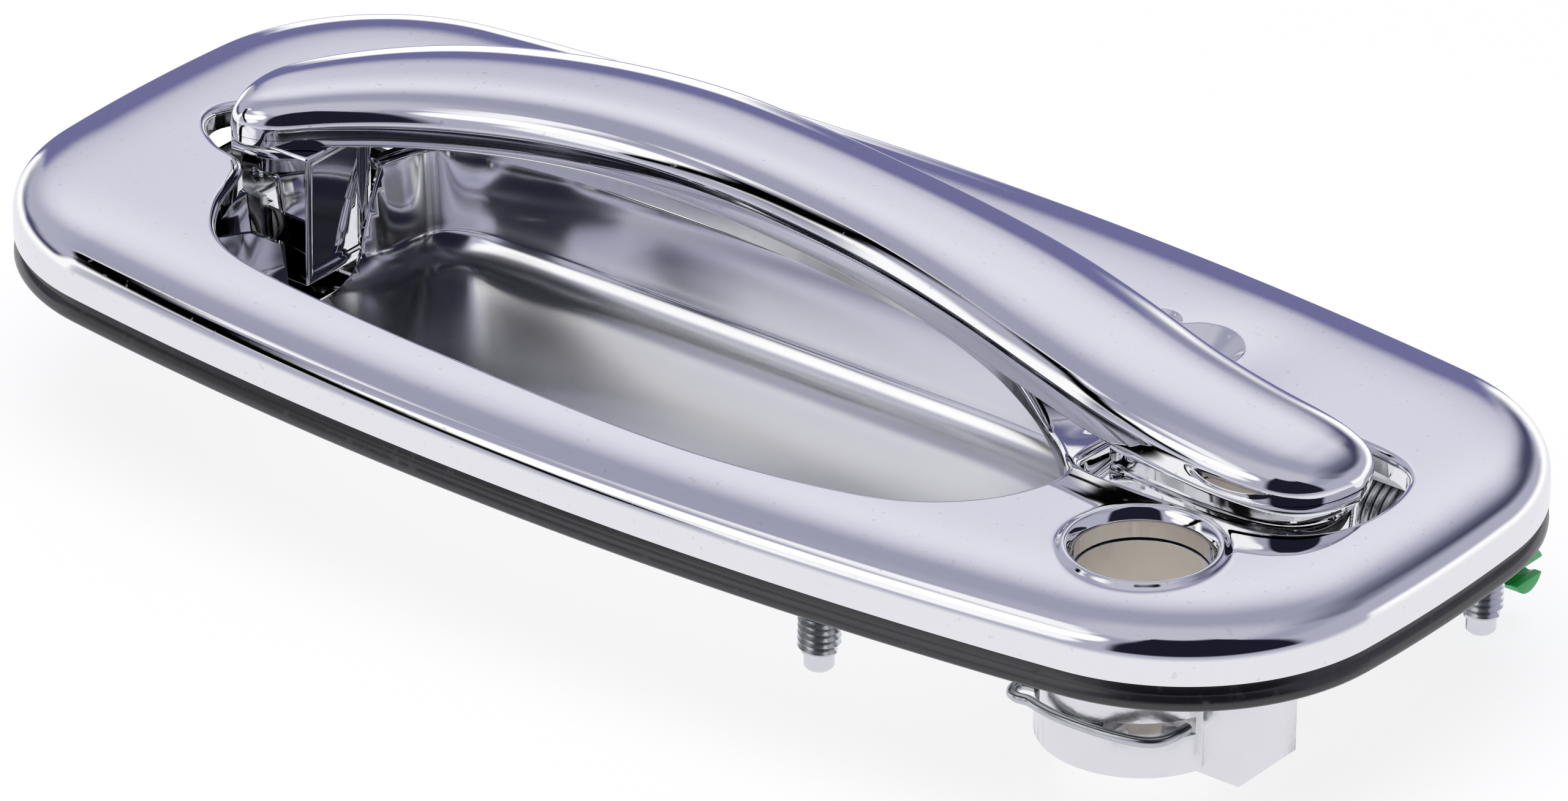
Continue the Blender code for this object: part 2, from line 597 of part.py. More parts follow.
def build_studs():
    """Threaded studs with a plain dog point, pressed into the plate's bosses."""
    top = UNDERSIDE + 1.0 * MM
    dog_top = -STUD_REACH + STUD_DOG_LENGTH
    thread_top = -1.5 * MM
    profile = [(0.0, top), (STUD_MAJOR, top), (STUD_MAJOR, thread_top)]
    turns = int((thread_top - dog_top - 0.5 * STUD_PITCH) / STUD_PITCH)
    for turn in range(turns):
        crest = thread_top - turn * STUD_PITCH
        profile.append((STUD_MINOR, crest - 0.5 * STUD_PITCH))
        profile.append((STUD_MAJOR, crest - STUD_PITCH))
    profile += [(STUD_DOG_RADIUS, dog_top), (STUD_DOG_RADIUS, -STUD_REACH + 0.4 * MM),
                (STUD_DOG_RADIUS - 0.4 * MM, -STUD_REACH), (0.0, -STUD_REACH)]
    for index, (x, y) in enumerate(STUD_PLACES):
        turned(f"mounting_stud_{index + 1}", profile, STEEL, 14, (x, y, 0.0))


def build_hinge_bracket():
    """Two ears on a web, with feet screwed to the plate's bosses."""
    seat = MOUNT_BOSS_Z - GAP
    foot = (seat - FOOT_SHEET, seat)
    near = (NEAR_EAR_Y - EAR_SHEET, NEAR_EAR_Y)
    far = (FAR_EAR_Y, FAR_EAR_Y + EAR_SHEET)
    web_x = (HINGE_X - 9.4 * MM, HINGE_X - 9.4 * MM + EAR_SHEET)
    body = box(web_x, (near[0], far[1]), (HINGE_Z - 5.0 * MM, foot[1]))
    bracket = add_part("hinge_bracket", body, STEEL)
    sheets = []
    holes = []
    for ear, place, side in ((near, HINGE_SCREWS[0], -1), (far, HINGE_SCREWS[1], 1)):
        sheets.append(box((web_x[0] + 0.1 * MM, HINGE_X + 4.6 * MM), ear,
                          (HINGE_Z - 4.9 * MM, seat - 0.1 * MM)))
        inner_face = ear[1] if side < 0 else ear[0]
        spread = sorted((inner_face, place[1] + side * 5 * MM))
        sheets.append(box((place[0] - 5 * MM, place[0] + 5 * MM), spread, foot))
        holes.append(cylinder(MOUNT_SCREW_RADIUS + GAP, foot[0] - MM, foot[1] + MM, place,
                              sides=16))
    join(bracket, "ears", *sheets)
    cut(bracket, "holes", *holes,
        cylinder(HINGE_PIN_RADIUS + GAP, near[0] - MM, far[1] + MM, HINGE_AXIS, axis='Y',
                 sides=20))
    for index, place in enumerate(HINGE_SCREWS):
        screw(f"hinge_bracket_screw_{index + 1}", place, foot[0], 5.6 * MM)


def build_hinge_pin():
    """Headed pin through both ears, with a groove for its snap ring."""
    head = NEAR_EAR_Y - EAR_SHEET - GAP
    tip = FAR_EAR_Y + EAR_SHEET + 3.0 * MM
    pin = add_part("hinge_pin", cylinder(HINGE_PIN_RADIUS, head - MM, tip, HINGE_AXIS,
                                         axis='Y', sides=20), STEEL,
                   (HINGE_X, (head + tip) / 2, HINGE_Z))
    groove = tip - 2.2 * MM
    join(pin, "head", cylinder(HINGE_PIN_RADIUS + 1.5 * MM, head - 1.4 * MM, head,
                               HINGE_AXIS, axis='Y', sides=20))
    cut(pin, "groove", groove_ring(HINGE_PIN_RADIUS, groove, HINGE_AXIS, 'Y'))
    snap_ring("hinge_pin_ring", 'Y', groove + GAP, HINGE_PIN_RADIUS, HINGE_AXIS)


def groove_ring(pin_radius, start, centre, axis):
    """Cutter for a snap-ring groove in a pin."""
    inner = pin_radius - RING_GROOVE
    outer = pin_radius + MM
    width = RING_SHEET + 2 * GAP
    ring = bmesh.new()
    rows = []
    for radius, along in ((inner, 0.0), (outer, 0.0), (outer, width), (inner, width)):
        rows.append([ring.verts.new((radius * math.cos(math.tau * k / 20), start + along,
                                     radius * math.sin(math.tau * k / 20)))
                     for k in range(20)])
    for row, following in zip(rows, rows[1:] + rows[:1]):
        for k in range(20):
            ring.faces.new((row[k], row[(k + 1) % 20], following[(k + 1) % 20],
                            following[k]))
    bmesh.ops.recalc_face_normals(ring, faces=ring.faces)
    if axis == 'X':
        ring.transform(Matrix.Translation((0.0, *centre))
                       @ Matrix(((0, 1, 0, 0), (1, 0, 0, 0), (0, 0, -1, 0), (0, 0, 0, 1))))
    else:
        ring.transform(Matrix.Translation((centre[0], 0.0, centre[1])))
    return ring


def snap_ring(name, axis, start, pin_radius, centre):
    """Open washer in a pin's groove, with its mouth facing down."""
    inner = pin_radius - RING_GROOVE + GAP
    ring = add_part(name, cylinder(pin_radius + 2.0 * MM, start, start + RING_SHEET, centre,
                                   axis=axis, sides=20), SPRING_STEEL)
    half = inner * 0.75
    along = (start - MM, start + 2 * MM)
    down = (centre[1] - pin_radius - 4 * MM, centre[1])
    across = (centre[0] - half, centre[0] + half)
    mouth = box(across, along, down) if axis == 'Y' else box(along, across, down)
    cut(ring, "eye", cylinder(inner, start - MM, start + 2 * MM, centre, axis=axis, sides=20),
        mouth)


def build_hinge_bushes():
    """Flanged nylon bush in each side of the strap's hinge leg."""
    length = 5.0 * MM
    bore = HINGE_PIN_RADIUS + GAP
    sleeve = bore + BUSH_WALL
    flange = sleeve + 1.2 * MM
    profile = [(bore, 1.2 * MM), (flange, 1.2 * MM), (flange, 0.0), (sleeve, 0.0),
               (sleeve, -length), (bore, -length), (bore, 1.2 * MM)]
    near = (HINGE_X, LEG_Y[0] - GAP, HINGE_Z)
    far = (HINGE_X, LEG_Y[1] + GAP, HINGE_Z)
    turned("hinge_bush_near", profile, NYLON, 24, near, (math.pi / 2, 0.0, 0.0))
    turned("hinge_bush_far", profile, NYLON, 24, far, (-math.pi / 2, 0.0, 0.0))


# ---- Strap ---------------------------------------------------------------------------
def strap_bottom(x):
    """Height of the strap's lower edge above the door skin at a place along it."""
    share = x / GRIP_BOW_REACH
    return GRIP_END_Z + GRIP_BOW * max(0.0, 1.0 - share * share)


def strap_height(x):
    share = x / GRIP_TAPER_REACH
    return GRIP_END_HEIGHT + (GRIP_HEIGHT - GRIP_END_HEIGHT) * max(0.0, 1.0 - share ** 4)


def strap_sections(inset):
    """Near and far edge points of every section in metres, moved in by an inset."""
    flat = [(*near, *far) for near, far in GRIP_SECTIONS]
    pairs = []
    for nx, ny, fx, fy in spline(flat, 2):
        near = Vector((nx, ny)) * MM
        far = Vector((fx, fy)) * MM
        across = (far - near).normalized()
        pairs.append((near + across * inset, far - across * inset))
    return pairs


def arch(near, far, base, height, points=13):
    """Cross-section from the near edge over the crown to the far edge."""
    ring = []
    for k in range(points):
        turn = math.pi * k / (points - 1)
        fullness = 3.4 if turn < math.pi / 2 else 2.3
        lateral = abs(math.cos(turn)) ** (2 / fullness) * (1 if turn < math.pi / 2 else -1)
        rise = abs(math.sin(turn)) ** (2 / fullness)
        place = near.lerp(far, 0.5 - 0.5 * lateral)
        ring.append((place.x, place.y, base + height * rise))
    return ring


def strap_solid(inset, lower, drop):
    """Arched solid: edges moved in by inset, base raised by lower, crown cut by drop."""
    pairs = strap_sections(inset)
    trim = 1 if inset > MM else 0
    rings = []
    for near, far in pairs[trim:len(pairs) - trim]:
        x = (near.x + far.x) / 2
        base = strap_bottom(x) + lower
        height = strap_height(x) - GRIP_LINER - drop
        rings.append(arch(near, far, base, height))
    return loft(rings)


def build_grip_cover():
    cover = add_part("grip_cover", strap_solid(0.0, GRIP_LINER, 0.0), CHROME, HINGE_PIVOT)
    cut(cover, "hollow", strap_solid(GRIP_WALL, GRIP_LINER - MM, GRIP_WALL - MM))


def strap_slab(inset, low, high):
    """Flat-topped slab that follows the strap's edges between two heights over its base."""
    rings = []
    for near, far in strap_sections(inset):
        base = strap_bottom((near.x + far.x) / 2)
        rings.append([(near.x, near.y, base + low), (far.x, far.y, base + low),
                      (far.x, far.y, base + high), (near.x, near.y, base + high)])
    return loft(rings)


def build_grip_liner():
    """Inner half of the strap, with the hinge leg, the pocket skirt and the pull hook."""
    liner = add_part("grip_liner", strap_slab(0.4 * MM, 0.0, GRIP_LINER - GAP), CHROME,
                     HINGE_PIVOT)
    leg = box((LEG_BACK_X, LEG_FRONT_X), LEG_Y, (LEG_BOTTOM, GRIP_END_Z + 1.2 * MM))
    hub = cylinder(HINGE_HUB, LEG_Y[0], LEG_Y[1], HINGE_AXIS, axis='Y', sides=28)
    skirt = [pair for pair in strap_sections(1.6 * MM)[:-1] if pair[0].x > SKIRT_LEFT]
    loop = [near for near, far in skirt] + [far for near, far in skirt[::-1]]
    edge = [tuple((place + loop[index - 1]) / 2) for index, place in enumerate(loop)]
    inside = offset(edge, -SKIRT_WALL)
    rings = ((inside, GRIP_END_Z - 1.5 * MM), (inside, SKIRT_BOTTOM), (edge, SKIRT_BOTTOM),
             (edge, GRIP_END_Z + 1.0 * MM))
    shell = loft([[(x, y, z) for x, y in ring] for ring, z in rings])
    hook_low = PAD_PLACE[1] - CRANK_PAD - HOOK_GAP - HOOK_SHEET
    hook_y = (CRANK_Y - CRANK_ARM - CRANK_PAD - HOOK_GAP - HOOK_SHEET,
              CRANK_Y - CRANK_ARM - CRANK_PAD - HOOK_GAP)
    stem = box(HOOK_X, hook_y, (hook_low + 0.5 * HOOK_SHEET, GRIP_END_Z + 0.4 * MM))
    foot = box((HOOK_X[0] + 0.1 * MM, HOOK_X[1] - 0.1 * MM),
               (hook_y[0] + 0.1 * MM, PAD_PLACE[0] + 0.6 * MM),
               (hook_low, hook_low + HOOK_SHEET))
    bosses = []
    holes = [cylinder(HINGE_PIN_RADIUS + GAP + BUSH_WALL + GAP, LEG_Y[0] - MM, LEG_Y[1] + MM,
                      HINGE_AXIS, axis='Y', sides=24)]
    for x, y in GRIP_SCREW_PLACES:
        base = strap_bottom(x)
        bosses.append(cylinder(3.4 * MM, base + 0.2 * MM, base + 4.4 * MM, (x, y), sides=20))
        holes.append(cylinder(MOUNT_SCREW_RADIUS + GAP, base - 6 * MM, base + 6 * MM, (x, y),
                              sides=16))
        holes.append(cylinder(3.1 * MM, base - 6 * MM, base + 1.0 * MM, (x, y), sides=20))
    join(liner, "leg_skirt_hook", leg, hub, shell, stem, foot, *bosses)
    cut(liner, "bores", *holes)


def build_grip_screws():
    """Screws that hold the cover to the liner, their heads sunk in the liner's face."""
    for index, (x, y) in enumerate(GRIP_SCREW_PLACES):
        screw(f"grip_screw_{index + 1}", (x, y), strap_bottom(x) + 1.0 * MM, 3.6 * MM,
              origin=HINGE_PIVOT)


# ---- Bellcrank -----------------------------------------------------------------------
def arm(x, start, end, half_width):
    """Flat arm in a YZ plane between two (y, z) points, between two X limits."""
    along = Vector(end) - Vector(start)
    shape = box(x, (0.0, along.length), (-half_width, half_width))
    turn = math.atan2(along.y, along.x)
    shape.transform(Matrix.Translation((0.0, *start)) @ Matrix.Rotation(turn, 4, 'X'))
    return shape


def inset(limits, amount):
    return limits[0] + amount, limits[1] - amount


def build_bellcrank():
    """Hub with a lifted arm, a weight arm and an output arm for the latch rod."""
    pivot = (INPUT_ARM_X[0], CRANK_Y, CRANK_Z)
    hub_x = (INPUT_ARM_X[0], OUTPUT_ARM_X[1])
    crank = add_part("bellcrank", cylinder(CRANK_HUB, *hub_x, CRANK_AXIS, axis='X', sides=28),
                     CAST_ZINC, pivot)
    input_x = inset(INPUT_ARM_X, 0.1 * MM)
    output_x = inset(OUTPUT_ARM_X, 0.1 * MM)
    lug = polar(SPRING_LUG_REACH, 180.0 + CRANK_REST_ANGLE, CRANK_AXIS)
    lug_top = Vector(polar(SPRING_RADIUS - SPRING_WIRE - GAP, 90.0 + CRANK_REST_ANGLE, lug))
    join(crank, "arms",
         arm(input_x, CRANK_AXIS, PAD_PLACE, 2.5 * MM),
         cylinder(CRANK_PAD, *INPUT_ARM_X, PAD_PLACE, axis='X', sides=24),
         arm(inset(input_x, 0.1 * MM), lug, tuple(lug_top), 1.2 * MM),
         arm(inset(input_x, 0.2 * MM), CRANK_AXIS, WEIGHT_PLACE, 2.2 * MM),
         cylinder(WEIGHT_BORE - GAP, input_x[0] + 0.5 * MM, WEIGHT_X[1], WEIGHT_PLACE,
                  axis='X', sides=20),
         arm(output_x, CRANK_AXIS, OUTPUT_PLACE, 2.6 * MM),
         cylinder(OUTPUT_EYE + 1.8 * MM, *OUTPUT_ARM_X, OUTPUT_PLACE, axis='X', sides=24))
    cut(crank, "bores",
        cylinder(CRANK_PIN_RADIUS + GAP, hub_x[0] - MM, hub_x[1] + MM, CRANK_AXIS, axis='X',
                 sides=24),
        cylinder(OUTPUT_EYE, OUTPUT_ARM_X[0] - MM, OUTPUT_ARM_X[1] + MM, OUTPUT_PLACE,
                 axis='X', sides=24))
    weight = add_part("counterweight", cylinder(WEIGHT_RADIUS, *WEIGHT_X, WEIGHT_PLACE,
                                                axis='X', sides=32), DARK_CASTING, pivot)
    cut(weight, "bore", cylinder(WEIGHT_BORE, WEIGHT_X[0] - MM, WEIGHT_X[1] + MM,
                                 WEIGHT_PLACE, axis='X', sides=20))


def build_bellcrank_bracket():
    """Folded sheet: a web screwed under the plate and two ears for the pivot pin.

    A slot in the web clears the spring's moving leg when the strap is pulled.
    """
    seat = MOUNT_BOSS_Z - GAP
    web_z = (seat - FOOT_SHEET, seat)
    ears = [(x, x + EAR_SHEET) for x in CRANK_EAR_X]
    web_y = (CRANK_Y - 5.0 * MM, CRANK_Y + 6.0 * MM)
    bracket = add_part("bellcrank_bracket", box((ears[0][0], ears[1][1]), web_y, web_z), STEEL)
    ear_y = (CRANK_Y - CRANK_EAR_RADIUS, CRANK_Y + CRANK_EAR_RADIUS)
    sheets = [box(inset(ear, 0.05 * MM), ear_y, (CRANK_Z, seat - 0.1 * MM)) for ear in ears]
    sheets += [cylinder(CRANK_EAR_RADIUS - 0.02 * MM, *inset(ear, 0.02 * MM), CRANK_AXIS,
                        axis='X', sides=24) for ear in ears]
    join(bracket, "ears", *sheets)
    holes = [cylinder(MOUNT_SCREW_RADIUS + GAP, web_z[0] - MM, web_z[1] + MM, place, sides=16)
             for place in CRANK_SCREWS]
    leg_slot = box((SPRING_X[1] - 1.3 * MM, SPRING_X[1] + 1.3 * MM),
                   (web_y[0] - MM, CRANK_Y + 1.2 * MM), (web_z[0] - MM, web_z[1] + MM))
    cut(bracket, "holes", *holes, leg_slot,
        cylinder(CRANK_PIN_RADIUS + GAP, ears[0][0] - MM, ears[1][1] + MM, CRANK_AXIS,
                 axis='X', sides=24))
    for index, place in enumerate(CRANK_SCREWS):
        screw(f"bellcrank_bracket_screw_{index + 1}", place, web_z[0], 5.6 * MM)


def build_bellcrank_pin():
    """Headed pivot pin through both ears, its snap ring at the hinge side."""
    tip = CRANK_EAR_X[0] - 3.0 * MM
    head = CRANK_EAR_X[1] + EAR_SHEET + GAP
    pin = add_part("bellcrank_pin", cylinder(CRANK_PIN_RADIUS, tip, head + MM, CRANK_AXIS,
                                             axis='X', sides=24), STEEL,
                   (tip, CRANK_Y, CRANK_Z))
    join(pin, "head", cylinder(CRANK_PIN_RADIUS + 1.2 * MM, head, head + 1.4 * MM, CRANK_AXIS,
                               axis='X', sides=24))
    groove = tip + 0.9 * MM
    cut(pin, "groove", groove_ring(CRANK_PIN_RADIUS, groove, CRANK_AXIS, 'X'))
    snap_ring("bellcrank_pin_ring", 'X', groove + GAP, CRANK_PIN_RADIUS, CRANK_AXIS)


def build_bellcrank_spring():
    """Torsion spring round the hub: one leg under the web, one over the lifted arm."""
    right, left = SPRING_X
    per_turn = 12
    leaving = 90.0 + CRANK_REST_ANGLE
    total = SPRING_TURNS * 360.0 + CRANK_REST_ANGLE
    steps = round(total / 360.0 * per_turn)
    points = [(right, CRANK_Y + 6.5 * MM, CRANK_Z + SPRING_RADIUS)]
    for step in range(steps + 1):
        y, z = polar(SPRING_RADIUS, 90.0 + total * step / steps, CRANK_AXIS)
        points.append((right + (left - right) * step / steps, y, z))
    corner = polar(SPRING_LUG_REACH, leaving + 90.0, polar(SPRING_RADIUS, leaving, CRANK_AXIS))
    points.append((left, *corner))
    points.append((INPUT_ARM_X[0] + 1.5 * MM, *corner))
    wire("bellcrank_spring", points, SPRING_WIRE, SPRING_STEEL, (right, CRANK_Y, CRANK_Z))


def build_rod_clip():
    """Plastic clip that snaps into the output arm and grips the latch rod's end."""
    y, z = OUTPUT_PLACE
    arm_x = OUTPUT_ARM_X
    face = arm_x[1] + GAP
    knob = cylinder(3.2 * MM, face + 0.8 * MM, face + 5.4 * MM, OUTPUT_PLACE, axis='X',
                    sides=28)
    clip = add_part("rod_clip", knob, GREEN_PLASTIC, (face, y, z))
    join(clip, "barrel",
         cylinder(OUTPUT_EYE + 1.4 * MM, face, face + 1.2 * MM, OUTPUT_PLACE, axis='X',
                  sides=20),
         cylinder(OUTPUT_EYE - GAP, arm_x[0] - 1.0 * MM, face + 2.0 * MM, OUTPUT_PLACE,
                  axis='X', sides=20),
         cylinder(OUTPUT_EYE + 0.4 * MM, arm_x[0] - 1.2 * MM, arm_x[0] - GAP, OUTPUT_PLACE,
                  axis='X', sides=20))
    rod_x = face + 3.4 * MM
    cut(clip, "rod_seat",
        cylinder(ROD_RADIUS, y - 5 * MM, y + 5 * MM, (rod_x, z), axis='Y', sides=20),
        box((rod_x, face + 8 * MM), (y - 5 * MM, y + 5 * MM),
            (z - 0.8 * ROD_RADIUS, z + 0.8 * ROD_RADIUS)))


def build_cup_screws():
    for index, place in enumerate(CUP_SCREWS):
        screw(f"cup_screw_{index + 1}", place, CUP_FLANGE_TOP - CUP_SHEET, 3.1 * MM)


def main():
    clear_scene()
    build_bezel_plate()
    build_gasket()
    build_finger_cup()
    build_lock_housing()
    build_lock_retainer_clip()
    build_studs()
    build_hinge_bracket()
    build_hinge_pin()
    build_hinge_bushes()
    build_grip_cover()
    build_grip_liner()
    build_grip_screws()
    build_cup_screws()
    build_bellcrank_bracket()
    build_bellcrank()
    build_bellcrank_pin()
    build_bellcrank_spring()
    build_rod_clip()


main()
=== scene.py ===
# %% [markdown]
# # A chrome car door handle
# The real handle is a die-cast cover plate with a finger cup, and a strap that is pulled
# away from the door. Everything the eye meets is mirror chrome, so the picture is made by
# two things only: how smooth each surface is, and what stands round it to be reflected.
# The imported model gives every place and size. This lesson builds a fine surface over it,
# piece by piece, and then lights it.

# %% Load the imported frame
import json
import math

import bmesh
import bpy
import numpy as np
from mathutils import Matrix, Vector, geometry

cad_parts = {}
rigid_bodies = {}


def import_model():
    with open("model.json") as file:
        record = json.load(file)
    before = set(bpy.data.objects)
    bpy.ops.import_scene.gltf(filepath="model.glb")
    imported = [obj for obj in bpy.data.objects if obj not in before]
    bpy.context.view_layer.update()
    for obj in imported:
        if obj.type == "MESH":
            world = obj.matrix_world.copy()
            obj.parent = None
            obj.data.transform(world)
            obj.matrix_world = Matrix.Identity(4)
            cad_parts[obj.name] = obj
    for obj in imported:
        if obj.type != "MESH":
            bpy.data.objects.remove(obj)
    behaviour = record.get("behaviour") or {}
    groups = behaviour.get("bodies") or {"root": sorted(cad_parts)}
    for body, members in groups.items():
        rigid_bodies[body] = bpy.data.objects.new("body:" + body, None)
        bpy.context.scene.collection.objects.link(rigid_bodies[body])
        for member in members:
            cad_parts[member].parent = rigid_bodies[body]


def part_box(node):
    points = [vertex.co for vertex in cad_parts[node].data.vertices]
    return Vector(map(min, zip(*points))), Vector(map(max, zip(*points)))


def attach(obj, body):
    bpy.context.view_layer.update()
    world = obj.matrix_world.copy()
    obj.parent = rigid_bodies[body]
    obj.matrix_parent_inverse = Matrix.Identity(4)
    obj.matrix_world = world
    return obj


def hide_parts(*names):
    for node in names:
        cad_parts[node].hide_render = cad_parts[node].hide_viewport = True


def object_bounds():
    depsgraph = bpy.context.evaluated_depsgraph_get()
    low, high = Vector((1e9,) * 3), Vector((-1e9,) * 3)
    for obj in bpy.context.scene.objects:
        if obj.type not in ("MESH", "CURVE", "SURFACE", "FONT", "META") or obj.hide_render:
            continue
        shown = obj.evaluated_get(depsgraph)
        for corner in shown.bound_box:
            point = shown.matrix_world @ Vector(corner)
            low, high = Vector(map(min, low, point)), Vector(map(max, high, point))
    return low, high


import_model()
cad_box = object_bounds()
MM = 0.001


def span(node):
    """A CAD node's lowest and highest corner in millimetres."""
    low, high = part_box(node)
    return np.array(low) / MM, np.array(high) / MM


PLATE_LOW, PLATE_HIGH = span("bezel_plate")
print("plate, mm:", np.round(PLATE_HIGH - PLATE_LOW, 1))

# %% [markdown]
# ## Smooth curves in plan
# Chrome shows every kink of the curve that a surface was swept from. Each outline is a curve
# through a few points, cut into even steps and then relaxed a little, which takes out the
# small waves that listed points always leave.


# %% Curves, distances and meshes
def curve_through(points, steps, closed=True):
    """Catmull-Rom curve through points, with a number of steps on each span."""
    points = np.array(points, float)
    count = len(points)
    spans = count if closed else count - 1
    rows = []
    for k in range(spans):
        picks = [(k + j) % count if closed else min(max(k + j, 0), count - 1)
                 for j in (-1, 0, 1, 2)]
        a, b, c, d = points[picks]
        t = np.arange(steps)[:, None] / steps
        rows.append(0.5 * (2 * b + (c - a) * t + (2 * a - 5 * b + 4 * c - d) * t ** 2
                           + (3 * b - a - 3 * c + d) * t ** 3))
    if not closed:
        rows.append(points[-1:])
    return np.vstack(rows)


def even(path, spacing, closed=True):
    """The path again, in steps of equal length."""
    line = np.vstack([path, path[:1]]) if closed else path
    length = np.concatenate([[0], np.cumsum(np.linalg.norm(np.diff(line, axis=0), axis=1))])
    count = max(8, round(length[-1] / spacing))
    at = np.linspace(0, length[-1], count + 1)
    if closed:
        at = at[:-1]
    return np.column_stack([np.interp(at, length, line[:, k]) for k in range(line.shape[1])])


def relax(path, passes, closed=True):
    """Each point moves to the mean of itself and its neighbours; open ends stay."""
    for _ in range(passes):
        moved = 0.5 * path + 0.25 * (np.roll(path, 1, 0) + np.roll(path, -1, 0))
        if not closed:
            moved[0], moved[-1] = path[0], path[-1]
        path = moved
    return path


def outline(points, spacing=1.0, passes=4):
    return relax(even(curve_through(points, 12), spacing), passes)


def moved_out(path, distance):
    """A closed anticlockwise path moved outwards by a distance."""
    along = np.roll(path, -1, 0) - np.roll(path, 1, 0)
    along /= np.linalg.norm(along, axis=1)[:, None]
    return path + distance * np.column_stack([along[:, 1], -along[:, 0]])


def nearest(points, path, side=1):
    """Distance to a closed path, and the unit vector that points away from it.

    A point on the path itself takes the path's own perpendicular: side is 1 for the left
    of the path and -1 for its right.
    """
    start = path
    step = np.roll(path, -1, 0) - path
    length2 = (step ** 2).sum(1)
    gaps, ways = [], []
    for block in np.array_split(points, max(1, len(points) // 3000)):
        t = ((block[:, None] - start) * step).sum(2) / length2
        foot = start + np.clip(t, 0, 1)[..., None] * step
        away = block[:, None] - foot
        gap = np.sqrt((away ** 2).sum(2))
        pick = gap.argmin(1)
        row = np.arange(len(block))
        gap, away, along = gap[row, pick], away[row, pick], step[pick]
        across = side * np.column_stack([-along[:, 1], along[:, 0]])
        away = np.where((gap < 1e-3)[:, None], across, away)
        gaps.append(gap)
        ways.append(away / np.maximum(np.linalg.norm(away, axis=1), 1e-9)[:, None])
    return np.concatenate(gaps), np.vstack(ways)


def inside(points, path):
    """Which points lie inside a closed path, by counting the edges to their right."""
    x, y = points[:, 0][:, None], points[:, 1][:, None]
    x0, y0 = path[:, 0], path[:, 1]
    x1, y1 = np.roll(x0, -1), np.roll(y0, -1)
    with np.errstate(divide="ignore", invalid="ignore"):
        crossing = ((y0 > y) != (y1 > y)) & (x < (x1 - x0) * (y - y0) / (y1 - y0) + x0)
    return crossing.sum(1) % 2 == 1


def linked(name, data):
    """A new object in the scene for a mesh, curve, lamp or camera."""
    made = bpy.data.objects.new(name, data)
    bpy.context.scene.collection.objects.link(made)
    return made


def dressed(name, mesh, finish):
    """A piece from a mesh, shaded smooth, with one finish."""
    mesh.name = name
    mesh.materials.clear()
    mesh.materials.append(finish)
    mesh.shade_smooth()
    return linked(name, mesh)


def add_piece(name, points_mm, faces, finish, corner_normals=None):
    """A mesh object from millimetre points, with its place in its mesh."""
    mesh = bpy.data.meshes.new(name)
    mesh.from_pydata((np.array(points_mm, float) * MM).tolist(), [], [list(f) for f in faces])
    piece = dressed(name, mesh, finish)
    if corner_normals is not None:
        mesh.normals_split_custom_set(corner_normals.tolist())
    return piece


def hand_over(piece, body, slot, *nodes):
    """The piece rides on a body and stands for CAD nodes."""
    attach(piece, body)
    if nodes:
        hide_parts(*nodes)
    triangles = sum(len(p.vertices) - 2 for p in piece.data.polygons)
    print(f"{piece.name}: {triangles} triangles")
    return piece


# %% [markdown]
# ## Shader maths
# A finish is written as a sum of patterns. Blender's nodes do that arithmetic, but one
# node at a time is slow to read. A small class wraps a socket and overloads the
# operators, so `grain * 0.2 + 0.1` adds its own Math nodes.


# %% A class for shader expressions
class Wire:
    """A socket that can be added, multiplied and compared like a number."""

    def __init__(self, tree, socket):
        self.tree, self.socket = tree, socket

    def maths(self, operation, first, second=None):
        values = {0: first} if second is None else {0: first, 1: second}
        return add(self.tree, "ShaderNodeMath", {"operation": operation}, values)

    def __add__(self, other):
        return self.maths("ADD", self, other)

    def __radd__(self, other):
        return self.maths("ADD", other, self)

    def __sub__(self, other):
        return self.maths("SUBTRACT", self, other)

    def __rsub__(self, other):
        return self.maths("SUBTRACT", other, self)

    def __mul__(self, other):
        return self.maths("MULTIPLY", self, other)

    def __rmul__(self, other):
        return self.maths("MULTIPLY", other, self)

    def __pow__(self, other):
        return self.maths("POWER", self, other)

    def step(self, low, high):
        """0 below low, 1 above high, smooth between."""
        return add(self.tree, "ShaderNodeMapRange",
                   {"interpolation_type": "SMOOTHSTEP", "clamp": True},
                   {"Value": self, "From Min": low, "From Max": high})

    def band(self, low, high, soft):
        """1 between two values, with soft edges."""
        return self.step(low - soft, low + soft) * (1 - self.step(high - soft, high + soft))


def add(tree, kind, settings=None, values=None, output=0):
    """Adds a node: its settings first, then its sockets. Returns one output."""
    node = tree.nodes.new(kind)
    for name, value in (settings or {}).items():
        setattr(node, name, value)
    for key, value in (values or {}).items():
        socket = node.inputs[key]
        if isinstance(value, Wire):
            tree.links.new(value.socket, socket)
        else:
            socket.default_value = value
    return Wire(tree, node.outputs[output])


def mix(tree, factor, first, second):
    """A colour between two colours."""
    node = tree.nodes.new("ShaderNodeMix")
    node.data_type = "RGBA"
    node.clamp_factor = True
    for socket, value in zip((node.inputs[0], node.inputs[6], node.inputs[7]),
                             (factor, first, second)):
        if isinstance(value, Wire):
            tree.links.new(value.socket, socket)
        else:
            socket.default_value = value if socket.type == "VALUE" else (*value[:3], 1.0)
    return Wire(tree, node.outputs[2])


def finish(name, colour, roughness, metallic=0.0, **sockets):
    """A Principled material. Returns the material, its tree and its shader node."""
    material = bpy.data.materials.new(name)
    material.use_nodes = True
    tree = material.node_tree
    shader = tree.nodes["Principled BSDF"]
    shader.inputs["Base Color"].default_value = (*colour, 1.0)
    shader.inputs["Roughness"].default_value = roughness
    shader.inputs["Metallic"].default_value = metallic
    for key, value in sockets.items():
        shader.inputs[key.replace("_", " ")].default_value = value
    material.diffuse_color = (*colour, 1.0)
    return material, tree, shader


